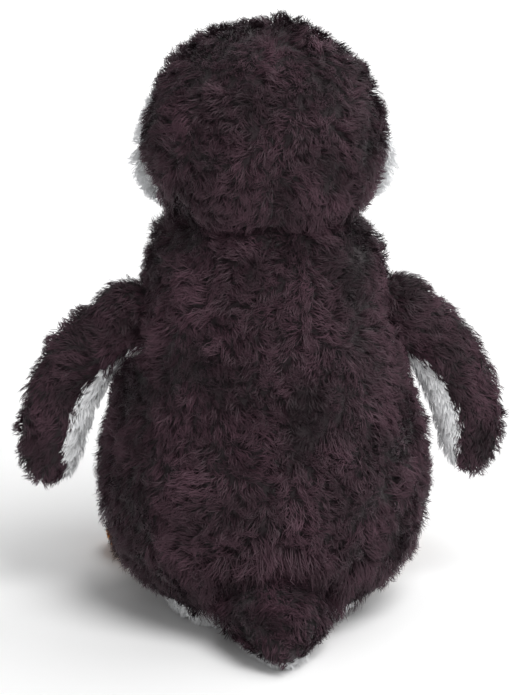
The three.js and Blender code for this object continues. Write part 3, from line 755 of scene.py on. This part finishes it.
CUFF = np.array([15.5, 14, 15.5]) * MM
CUFF_SLOT = 6.5 * MM
CUFF_RINGS = 18
CUFF_SIDES = 28
cuffs = {side: Cuff(side) for side in SIDES}


# ---- Pile ----

RINGS = 5  # cross-sections of a strand, the last of which is its tip
LIMIT = 26000  # most strands in one piece
TRIES = 4  # places tried for each one that fits
PACKING = 0.82  # of the spacing, between neighbouring locks
SEAM_WIDTH = 5 * MM  # over which the pile is shorter beside a seam
CLOSING = 1.3  # power of the strands' closing towards their lock's tip
# Layers of smooth noise: wavelength, seed and share.
SWIRL_WAVES = [(52 * MM, 11, 0.9), (21 * MM, 12, 0.6), (11 * MM, 16, 0.25)]
LUMP_WAVES = [(30 * MM, 13, 0.6), (13 * MM, 14, 0.45)]
LEAN_WAVES = [(17 * MM, 15, 0.15)]


def scatter(form, numbers, spacing, seed):
    """Points spread evenly over the panels with those numbers: places, normals and seam gaps."""
    rng = np.random.default_rng(seed)
    triangles = form.triangles[np.isin(form.owner, numbers)]
    a, b, c = (form.points[triangles[:, i]] for i in range(3))
    area = np.linalg.norm(np.cross(b - a, c - a), axis=1) / 2
    count = int(area.sum() / spacing**2 * TRIES)
    chosen = triangles[rng.choice(len(triangles), count, p=area / area.sum())]
    u, v = rng.random((2, count, 1))
    flip = u + v > 1
    u, v = np.where(flip, 1 - u, u), np.where(flip, 1 - v, v)
    mix = lambda values: (
        values[chosen[:, 0]] * (1 - u - v) + values[chosen[:, 1]] * u + values[chosen[:, 2]] * v
    )
    points, normals = mix(form.points), unit(mix(form.normals))
    gaps = mix(form.seam_gap[:, None])[:, 0]
    taken, kept = {}, []
    cells = np.floor(points / spacing).astype(int)
    near = [(i, j, k) for i in (-1, 0, 1) for j in (-1, 0, 1) for k in (-1, 0, 1)]
    for number, ((x, y, z), (i, j, k)) in enumerate(zip(points.tolist(), cells.tolist())):
        others = (other for di, dj, dk in near for other in taken.get((i + di, j + dj, k + dk), ()))
        if all((a - x) ** 2 + (b - y) ** 2 + (c - z) ** 2 >= spacing**2 for a, b, c in others):
            taken.setdefault((i, j, k), []).append((x, y, z))
            kept.append(number)
    return points[kept], normals[kept], gaps[kept]


def grow(name, form, numbers, fur, comb, seed, keep=None):
    """Covers panels in locks of pile, combed along a direction or a function's directions. Every
    lock is a bunch of strands that lean, curl and close towards one tip."""
    places, normals, gaps = scatter(form, numbers, fur["spacing"] * PACKING, seed)
    if keep is not None:
        chosen = keep(places, normals)
        places, normals, gaps = places[chosen], normals[chosen], gaps[chosen]
    rng = np.random.default_rng(seed + 1)
    count = len(places)
    way = tangential(comb(places, normals) if callable(comb) else comb, normals)
    swirl = fur["swirl"] * layered(places, SWIRL_WAVES) + rng.normal(0, fur["scruff"], count)
    way = turned(way, normals, swirl)
    lumps = layered(places, LUMP_WAVES)
    length = fur["length"] * (1 + fur["uneven"] * np.clip(lumps, -1.6, 1.6) * 0.6)
    length *= rng.uniform(0.9, 1.1, count)
    length *= 1 - fur["seam"] * np.exp(-((gaps / SEAM_WIDTH) ** 2))
    if "trim" in fur:
        length *= fur["trim"](places)
    lean = fur["lean"] + layered(places, LEAN_WAVES) + rng.normal(0, 0.07, count)
    curl = rng.normal(0, fur["curl"], count)
    # Painted light and shade: each lock lighter where the pile's lumps stand longer and darker in the hollows, with
    # random tone besides.
    lump_shade_and_tone = np.clip(0.5 + 0.2 * lumps + rng.normal(0, 0.12, count), 0, 1)

    per_lock = fur["strands"]
    owner = np.repeat(np.arange(count), per_lock)
    total = len(owner)
    n, t = normals[owner], way[owner]
    b = np.cross(n, t)
    radius = fur["spacing"] * 0.8 * np.sqrt(rng.random(total))[:, None]
    angle = rng.uniform(0, 2 * math.pi, total)[:, None]
    offset = t * radius * np.cos(angle) + b * radius * np.sin(angle)
    reach = length[owner] * rng.uniform(0.86, 1.08, total)
    stray = rng.random(total) < fur["stray"]
    close = np.where(stray, 0.1, fur["close"] * rng.uniform(0.75, 1.1, total))[:, None]
    slant = lean[owner] + rng.normal(0, 0.1, total) + np.where(stray, rng.normal(0, 0.35, total), 0)
    twist = curl[owner] + rng.normal(0, 0.25, total)

    step = reach / (RINGS - 1)
    place = places[owner] + offset - n * fur["sunk"]
    rings = [place]
    for ring in range(1, RINGS):
        share = (ring - 0.5) / (RINGS - 1)
        tilt = np.clip(fur["rise"] + (slant - fur["rise"]) * share, -0.3, 1.6)
        heading = turned(t, n, twist * share + fur["crimp"] * rng.normal(0, 1, total))
        tilt = tilt + 0.32 * fur["crimp"] * rng.normal(0, 1, total)
        way_up = n * np.cos(tilt)[:, None] + heading * np.sin(tilt)[:, None]
        pull = offset * close * ((ring / (RINGS - 1)) ** CLOSING - ((ring - 1) / (RINGS - 1)) ** CLOSING)
        rings.append(rings[-1] + way_up * step[:, None] - pull)
    path = np.stack(rings, 1)
    if "floor" in fur:
        path[..., 2] = np.maximum(path[..., 2], fur["floor"] + 0.3 * MM * rng.random((total, 1)))

    roll = rng.normal(0, 0.28, total)
    widths = fur["width"] * rng.uniform(0.75, 1.25, total)
    shade = np.clip(lump_shade_and_tone[owner] + rng.normal(0, 0.04, total), 0, 1)
    batches = math.ceil(total / LIMIT)
    for number in range(batches):
        chosen = slice(number * total // batches, (number + 1) * total // batches)
        label = name if batches == 1 else f"{name}_{number + 1}"
        obj = strands(label, path[chosen], n[chosen], roll[chosen], widths[chosen], shade[chosen])
        obj.data.materials.append(looks[fur["slot"]])
        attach(obj, form.body)


def strands(name, path, normals, roll, widths, shade):
    """Tapered ribbons along paths, with their share along and their shade as attributes."""
    total = len(path)
    per = 2 * (RINGS - 1) + 1
    points = np.zeros((total, per, 3))
    heading = unit(path[:, -1] - path[:, 0])
    across = unit(np.cross(heading, normals) + heading * 1e-6)
    across = turned(across, heading, roll)
    for ring in range(RINGS - 1):
        half = (widths * (1 - 0.6 * (ring / (RINGS - 1)) ** 2) / 2)[:, None]
        points[:, 2 * ring] = path[:, ring] - across * half
        points[:, 2 * ring + 1] = path[:, ring] + across * half
    points[:, -1] = path[:, -1]

    corners, sizes = [], []
    for ring in range(RINGS - 2):
        corners += [2 * ring, 2 * ring + 1, 2 * ring + 3, 2 * ring + 2]
        sizes.append(4)
    corners += [per - 3, per - 2, per - 1]
    sizes.append(3)
    loops = (np.arange(total)[:, None] * per + np.array(corners)).ravel()
    starts = (np.arange(total)[:, None] * len(corners) + np.cumsum([0, *sizes[:-1]])).ravel()

    mesh = bpy.data.meshes.new(name)
    mesh.vertices.add(total * per)
    mesh.loops.add(len(loops))
    mesh.polygons.add(len(starts))
    mesh.vertices.foreach_set("co", points.astype(np.float32).ravel())
    mesh.loops.foreach_set("vertex_index", loops.astype(np.int32))
    mesh.polygons.foreach_set("loop_start", starts.astype(np.int32))
    mesh.update(calc_edges=True)
    smooth_shading(mesh)

    levels = [*np.repeat(np.arange(RINGS - 1), 2) / (RINGS - 1), 1.0]
    along = mesh.attributes.new("along", "FLOAT", "POINT")
    along.data.foreach_set("value", np.tile(levels, total).astype(np.float32))
    # Each strand's painted lump shade and random tone.
    shade_layer = mesh.attributes.new("shade", "FLOAT", "POINT")
    shade_layer.data.foreach_set("value", np.repeat(shade, per).astype(np.float32))

    cells = math.ceil(math.sqrt(total))
    column, row = np.arange(total) % cells, np.arange(total) // cells
    sides = np.array([*np.tile([0.15, 0.85], RINGS - 1), 0.5])
    u = (column[:, None] + sides) / cells
    v = (row[:, None] + 0.1 + 0.8 * np.array(levels)) / cells
    flat = np.stack([u, v], 2).reshape(-1, 2)[loops]
    layer = mesh.uv_layers.new(name="OFBake")
    layer.data.foreach_set("uv", flat.astype(np.float32).ravel())
    return new_object(name, mesh)


def torso_comb(points, normals):
    """Down the body, and out over the floor at the bottom."""
    out = points * np.array([1, 1, 0])
    low = 1 - smoothstep(points[:, 2], 8 * MM, 45 * MM)[:, None]
    return DOWN + unit(out) * (0.25 + 0.8 * low)


def head_comb(points, normals):
    """Down and back from the brow over the crown."""
    return DOWN + np.array([0, 0.7, 0]) * smoothstep(points[:, 2], 0.27, 0.33)[:, None]


def face_comb(points, normals):
    """Outwards from above the beak."""
    return points - np.array([0, -60, 268]) * MM


def flipper_comb(side):
    return lambda points, normals: flipper_place(points, side)[3] + 0.15 * normals


def tail_comb(points, normals):
    return np.array([0, 1, -0.25]) + points * np.array([1, 0, 0])


def tail_trim(points):
    """Shorter pile towards the tip and the side seams."""
    tip = 1 - 0.15 * smoothstep(points[:, 1], 118 * MM, 134 * MM)
    return tip * (0.75 + 0.25 * smoothstep(points[:, 2], 7 * MM, 15 * MM))


def under_trim(points):
    """Short at the tip, where the dark pile hangs over it."""
    return 1 - 0.55 * smoothstep(points[:, 1], 108 * MM, 130 * MM)


def under_comb(points, normals):
    """Outwards, so that it shows below the dark pile all round the tail."""
    return np.array([0, 0.6, -0.1]) + points * np.array([30, 0, 0])


def rump_comb(points, normals):
    """From the torso back over the tail's root."""
    return np.array([0, 1, -0.75]) + points * np.array([-4, 0, 0])


def from_tail_root(points):
    """How far off the tail's root, as a share of the rump's reach."""
    return np.hypot(points[:, 0] / RUMP_HALF_WIDTH, (points[:, 2] - TAIL_HINGE[2]) / RUMP_HEIGHT)


def on_rump(points, normals):
    """Round the tail's root, above and beside it."""
    return on_torso(points, normals) & (from_tail_root(points) < 1) & (points[:, 1] > RUMP_START)


def rump_trim(points):
    """Shorter pile towards the sides, so that the base's fringe shows there."""
    return 1 - 0.6 * smoothstep(np.abs(points[:, 0]), 0.45 * RUMP_HALF_WIDTH, RUMP_HALF_WIDTH)


RUMP_HALF_WIDTH = 60 * MM
RUMP_HEIGHT = 42 * MM
RUMP_START = 48 * MM


def base_trim(points):
    """Dark pile cut shorter where it meets the base, so that the base's fringe shows."""
    return 0.3 + 0.7 * smoothstep(points[:, 2], BASE_RISE, BASE_RISE + 26 * MM)


def fringe_trim(points):
    """Longer on the toy's left, where the photograph shows it."""
    return 0.6 + 0.4 * smoothstep(points[:, 0], 0, 30 * MM)


def on_rim(points, normals):
    """The base's outer edge."""
    out = np.linalg.norm(normals[:, :2], axis=1)
    return (out > 0.35) & on_torso(points, normals)


def cheek_trim(points):
    """Longer pile on the cheeks."""
    return 1 + 0.2 * cheek_share(points)


def head_trim(points):
    """Shorter dark pile beside the cheeks."""
    beside = smoothstep(np.abs(points[:, 0]), 0.75 * CHEEK[0], CHEEK[0])
    near = np.exp(-(above_cheek(points) ** 2)) * (1 - smoothstep(points[:, 1], 10 * MM, 36 * MM))
    return 1 - 0.45 * beside * near


def foot_comb(side):
    return np.array([SIDES[side] * math.sin(FOOT_SPLAY), -math.cos(FOOT_SPLAY), 0])


def cuff_comb(points, normals):
    return DOWN + unit(points * np.array([1, 1, 0])) * 0.3


def cuff_open(side):
    """Not where the flipper's root comes out."""
    centre, _, back = flipper_axes(side)
    return lambda points, normals: np.abs((points - centre) @ back) > CUFF_SLOT


def on_torso(points, normals):
    """Not under the head, nor in the shoulders' hollows."""
    clear = neck_sine(points) < NECK_SEAM_SINE
    for side in SIDES:
        clear &= distance(points, mirrored(SHOULDER, side)) > SHOULDER_ROOM
    return clear


def on_neck(points, normals):
    """The band that shows when the head nods."""
    sine = neck_sine(points)
    return (sine > NECK_SEAM_SINE) & (sine < NECK_TOP_SINE)


def on_head(points, normals):
    """Not inside the cup that sits on the neck."""
    return distance(points, NECK) > HEAD_CUP - 1.5 * MM


LONG = dict(
    slot="dark_plush", spacing=4.2 * MM, strands=17, length=10.5 * MM, width=0.42 * MM,
    swirl=1.0, scruff=0.28, uneven=0.3, seam=0.3, rise=0.35, lean=1.48, curl=0.9,
    crimp=0.36, close=0.55, stray=0.01, sunk=0.6 * MM,
)
LONG_WHITE = dict(LONG, slot="white_plush", spacing=5 * MM, strands=14, width=0.65 * MM, swirl=0.7)
LIMB = dict(
    LONG, spacing=3.8 * MM, strands=13, length=9 * MM, width=0.48 * MM, swirl=0.5, sunk=0.4 * MM,
    rise=0.65, lean=1.56, curl=0.6, crimp=0.28, scruff=0.2,
)
LIMB_WHITE = dict(
    LIMB, slot="white_plush", width=0.6 * MM, length=8 * MM, swirl=0.25, scruff=0.12,
    uneven=0.1, curl=0.35, crimp=0.15, lean=1.5, stray=0, close=0.2, strands=15,
)
SHORT = dict(
    LONG, slot="orange_plush", spacing=2.6 * MM, strands=12, length=5 * MM, width=0.4 * MM,
    swirl=0.4, uneven=0.12, curl=0.4, close=0.5, sunk=0.3 * MM, floor=0.3 * MM,
)
BEAK = dict(SHORT, spacing=1.8 * MM, strands=8, length=2.0 * MM, width=0.3 * MM)
UNDER = dict(LONG_WHITE, length=5 * MM, lean=1.2, floor=0.2 * MM, spacing=7 * MM, width=0.9 * MM)
FRINGE = dict(LIMB_WHITE, trim=fringe_trim, length=9 * MM, lean=1.0, floor=0.3 * MM, width=0.7 * MM, uneven=0.25)
RUMP = dict(LONG, trim=rump_trim, length=19 * MM, floor=0.8 * MM, lean=1.38, swirl=0.5, curl=0.6, strands=12)
NECK_FUR = dict(LONG, length=4 * MM, rise=1.1, lean=1.5, curl=0.4, width=0.6 * MM, strands=10)
TAIL_FUR = dict(LIMB, length=11 * MM, floor=3 * MM, trim=tail_trim)
TAIL_FRINGE = dict(LIMB_WHITE, trim=under_trim, length=9 * MM, lean=1.0, floor=0.3 * MM)
BACK = dict(LONG, floor=3.2 * MM, trim=base_trim)
CHEEKS = dict(
    LONG_WHITE, trim=cheek_trim, lean=1.4, rise=0.7, uneven=0.1, scruff=0.12, stray=0,
    swirl=0.25, curl=0.4, crimp=0.18,
)
CAP = dict(LONG, trim=head_trim)

torso, head = forms["torso"], forms["head"]
grow("pile_back_left", torso, [0], BACK, torso_comb, 100, on_torso)
grow("pile_back_right", torso, [1], BACK, torso_comb, 200, on_torso)
grow("pile_neck_back", torso, [0, 1], NECK_FUR, DOWN, 260, on_neck)
grow("pile_neck_front", torso, [2], dict(NECK_FUR, slot="white_plush"), DOWN, 270, on_neck)
grow("pile_rump", torso, [0, 1], RUMP, rump_comb, 250, on_rump)
grow("pile_belly", torso, [2], dict(LONG_WHITE, floor=0.5 * MM), torso_comb, 300, on_torso)
grow("pile_base", torso, [3], UNDER, torso_comb, 400)
grow("pile_base_fringe", torso, [3], FRINGE, DOWN, 450, on_rim)
grow("pile_head_left", head, [0], CAP, head_comb, 500, on_head)
grow("pile_head_right", head, [1], CAP, head_comb, 600, on_head)
grow("pile_face_left", head, [2], CHEEKS, face_comb, 700, on_head)
grow("pile_face_right", head, [3], CHEEKS, face_comb, 800, on_head)
grow("pile_beak_upper", forms["beak"], [0], BEAK, DOWN, 850)
grow("pile_beak_lower", forms["beak"], [1], BEAK, DOWN, 860)
grow("pile_tail_upper", forms["tail"], [0], TAIL_FUR, tail_comb, 900)
grow("pile_tail_under", forms["tail"], [1], TAIL_FRINGE, under_comb, 950)
for offset, side in enumerate(SIDES):
    seed = 1000 + 500 * offset
    flipper, foot = forms[f"flipper_{side}"], forms[f"foot_{side}"]
    grow(f"pile_flipper_outer_{side}", flipper, [0], LIMB, flipper_comb(side), seed)
    grow(f"pile_flipper_inner_{side}", flipper, [1], LIMB_WHITE, flipper_comb(side), seed + 50)
    grow(f"pile_shoulder_{side}", cuffs[side], [0], LIMB, cuff_comb, seed + 80, cuff_open(side))
    grow(f"pile_foot_upper_{side}", foot, [0], SHORT, foot_comb(side), seed + 100)
    grow(f"pile_foot_sole_{side}", foot, [1], SHORT, foot_comb(side), seed + 150)

# ---- Fittings ----


def turned_piece(name, profile, centre, way, sides=48):
    """A piece turned about an axis, from radii and heights."""
    turn = Vector(way).to_track_quat("Z", "Y").to_matrix()
    points = []
    for radius, height in profile:
        for i in range(sides):
            angle = 2 * math.pi * i / sides
            local = Vector((radius * math.cos(angle), radius * math.sin(angle), height))
            points.append(Vector(centre) + turn @ local)
    mesh = mesh_of(name, points, strip_faces(len(profile), sides))
    work = bmesh.new()
    work.from_mesh(mesh)
    bmesh.ops.remove_doubles(work, verts=work.verts, dist=1e-6)
    bmesh.ops.recalc_face_normals(work, faces=work.faces)
    work.to_mesh(mesh)
    work.free()
    smooth_shading(mesh)
    return new_object(name, mesh)


EYE_TURN = math.radians(27)
EYE_RISE = math.radians(9)
EYE_RADIUS = 8.5 * MM
EYE_STEM = 2.2 * MM
EYE_DEPTH = 16 * MM
EYE_SEAT = 4 * MM
EYE_DOME = 8 * MM
EYE_STEPS = 12
EYE_RIM = 1 * MM
EYE_BEVEL = 0.5 * MM
for side, sign in SIDES.items():
    way = bearing(sign * EYE_TURN, EYE_RISE)
    points = coords(nodes[f"eye_{side}"].data)
    front = points[(points @ way).argmax()]
    seat = front - way * (EYE_DOME - EYE_SEAT)
    rim = -EYE_SEAT - EYE_RIM
    profile = [(0, -EYE_DEPTH), (EYE_STEM, -EYE_DEPTH), (EYE_STEM, rim), (EYE_RADIUS - EYE_BEVEL, rim)]
    profile += [(EYE_RADIUS, rim + EYE_BEVEL)]
    for i in range(EYE_STEPS + 1):
        angle = math.pi / 2 * i / EYE_STEPS
        profile.append((EYE_RADIUS * math.cos(angle), -EYE_SEAT + EYE_DOME * math.sin(angle)))
    profile[-1] = (0, profile[-1][1])
    eye = turned_piece(f"glossy_eye_{side}", profile, seat, way)
    finish_piece(eye, eye_look, "head", f"eye_{side}")


def tube_piece(name, line, radius, sides=6):
    """A round tube along a line of points, closed at both ends."""
    line = np.array(line)
    headings = unit(np.gradient(line, axis=0))
    side = unit(np.cross(headings, np.array([0.3, 0.2, 0.9])))
    other = np.cross(headings, side)
    points = []
    for centre, a, b in zip(line, side, other):
        for i in range(sides):
            angle = 2 * math.pi * i / sides
            points.append(centre + radius * (a * math.cos(angle) + b * math.sin(angle)))
    ends = [tuple(range(sides))[::-1], tuple(range((len(line) - 1) * sides, len(line) * sides))]
    mesh = mesh_of(name, points, strip_faces(len(line), sides) + ends)
    smooth_shading(mesh)
    return new_object(name, mesh)


# The ladder stitch that closes the centre-back seam, on the panels' surface.
torso_tree = BVHTree.FromPolygons(
    [tuple(p) for p in torso.points], [tuple(int(v) for v in t) for t in torso.triangles]
)
low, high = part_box("closing_thread")
STITCH = 5 * MM
STITCH_HALF = 1.6 * MM
STITCH_LIFT = 0.4 * MM
BEHIND = 0.3
line = []
rows = int((high.z - low.z) / STITCH)
for row in range(rows):
    height = low.z + (row + 0.5) * STITCH
    for sign in (-1, 1) if row % 2 else (1, -1):
        hit = torso_tree.ray_cast(Vector((sign * STITCH_HALF, BEHIND, height)), Vector((0, -1, 0)))[0]
        line.append(np.array([hit.x, hit.y + STITCH_LIFT, hit.z]))
finish_piece(tube_piece("ladder_stitch", line, 0.45 * MM), thread_look, "torso", "closing_thread")

# The gathering thread in the neck seam, drawn tight on the torso's backing.
NECK_THREAD_REACH = 65.0 * MM
NECK_THREAD_ELEVATION = math.radians(39.8)
NECK_THREAD_STEPS = 96
GATHERS = 24
GATHER_DEPTH = 0.5 * MM
ring = []
for step in range(NECK_THREAD_STEPS + 1):
    angle = 2 * math.pi * step / NECK_THREAD_STEPS
    reach = NECK_THREAD_REACH + GATHER_DEPTH * math.sin(angle * GATHERS)
    ring.append(NECK + reach * np.array([
        math.cos(NECK_THREAD_ELEVATION) * math.cos(angle),
        math.cos(NECK_THREAD_ELEVATION) * math.sin(angle),
        math.sin(NECK_THREAD_ELEVATION),
    ]))
finish_piece(tube_piece("gathering_thread", ring, 0.8 * MM), thread_look, "neck", "neck_thread")

# The blank ribbon label in the front base seam.
LABEL_WIDTH = 24 * MM
LABEL_THICKNESS = 0.35 * MM
LABEL_IN_SEAM = 4 * MM
LABEL_WAVE = 1.2 * MM
LABEL_CUP = 1.0 * MM
low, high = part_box("care_label")
label_length = high.y - low.y + LABEL_IN_SEAM
columns, rows = 13, 25
points = []
for row in range(rows):
    share = row / (rows - 1)
    for column in range(columns):
        side_share = column / (columns - 1) - 0.5
        lift = LABEL_WAVE * math.sin(share * 5.0) * share + LABEL_CUP * side_share**2 * 4 * share
        points.append((
            side_share * LABEL_WIDTH,
            high.y + LABEL_IN_SEAM - share * label_length,
            (low.z + high.z) / 2 + lift,
        ))
faces = [
    (r * columns + c, (r + 1) * columns + c, (r + 1) * columns + c + 1, r * columns + c + 1)
    for r in range(rows - 1)
    for c in range(columns - 1)
]
label = new_object("ribbon_label", mesh_of("ribbon_label", points, faces))
thick = label.modifiers.new("Solidify", "SOLIDIFY")
thick.thickness = LABEL_THICKNESS
apply_modifiers(label)
smooth_shading(label.data)
finish_piece(label, satin_look, "torso", "care_label")

# Inner pieces keep their CAD shape and get their own materials.
for part, look in {"stuffing": filling_look, "eye_washer": washer_look, "pellet_bag": pellet_look}.items():
    for name, node in nodes.items():
        if part in name:
            node.data.materials.clear()
            node.data.materials.append(look)

# ---- Floor, light and camera ----


def plain(name, colour, rough):
    made = Material(name, rough=rough)
    made.colour(made.mottled(made.noise(3, 2), colour, 0.99))
    made.rough(made.noise(40, 2), rough - 0.05, rough + 0.05)
    return made.material


FLOOR_HALF = 20.0
corners = [(x * FLOOR_HALF, y * FLOOR_HALF, 0) for x, y in ((-1, -1), (1, -1), (1, 1), (-1, 1))]
floor = new_object("studio_floor", mesh_of("studio_floor", corners, [(0, 1, 2, 3)]))
floor.data.materials.append(plain("floor", (0.93, 0.93, 0.93), 0.8))

AMBIENT = 0.22
world = bpy.data.worlds.new("studio")
scene.world = world
world.use_nodes = True
tree = world.node_tree
background = tree.nodes["Background"]
background.inputs["Color"].default_value = (1, 1, 1, 1)
# White where the camera sees it, and dimmer as a light.
seen = tree.nodes.new("ShaderNodeLightPath")
strength = tree.nodes.new("ShaderNodeMapRange")
strength.inputs["To Min"].default_value = AMBIENT
strength.inputs["To Max"].default_value = 1
tree.links.new(seen.outputs["Is Camera Ray"], strength.inputs["Value"])
tree.links.new(strength.outputs["Result"], background.inputs["Strength"])


def aim(obj, direction):
    obj.rotation_euler = Vector(direction).to_track_quat("-Z", "Y").to_euler()


AIM = Vector((0, 0, 0.17))
SUN_ANGLE = math.radians(40)
FILL_SIZE = 1.6
FILL_POWER = 9
# The key makes the long shadow, and the back key the one towards the camera.
for name, energy, direction in (("key", 2.6, (0.4, -0.6, -1.0)), ("back key", 0.9, (0.55, 0.35, -1.0))):
    sun = bpy.data.lights.new(name, "SUN")
    sun.energy = energy
    sun.angle = SUN_ANGLE
    aim(new_object(name, sun), direction)
for name, place in (("fill", (0.3, 2.4, 1.3)), ("front fill", (-0.5, -2.2, 0.9))):
    disk = bpy.data.lights.new(name, "AREA")
    disk.shape = "DISK"
    disk.size = FILL_SIZE
    disk.energy = FILL_POWER
    lamp = new_object(name, disk)
    lamp.location = place
    aim(lamp, AIM - Vector(place))

CAMERA_AZIMUTH = math.radians(175)
CAMERA_ELEVATION = math.radians(18)
CAMERA_DISTANCE = 4.5
CAMERA_LENS = 405
CAMERA_TARGET = Vector((0.9 * MM, 0, 152.5 * MM))
camera = new_object("camera", bpy.data.cameras.new("camera"))
away = Vector(bearing(CAMERA_AZIMUTH, CAMERA_ELEVATION))
camera.location = CAMERA_TARGET + away * CAMERA_DISTANCE
aim(camera, -away)
camera.data.lens = CAMERA_LENS
camera.data.sensor_width = 36
camera.data.clip_start = 0.05
camera.data.clip_end = 60
scene.camera = camera
scene.view_settings.view_transform = "Standard"
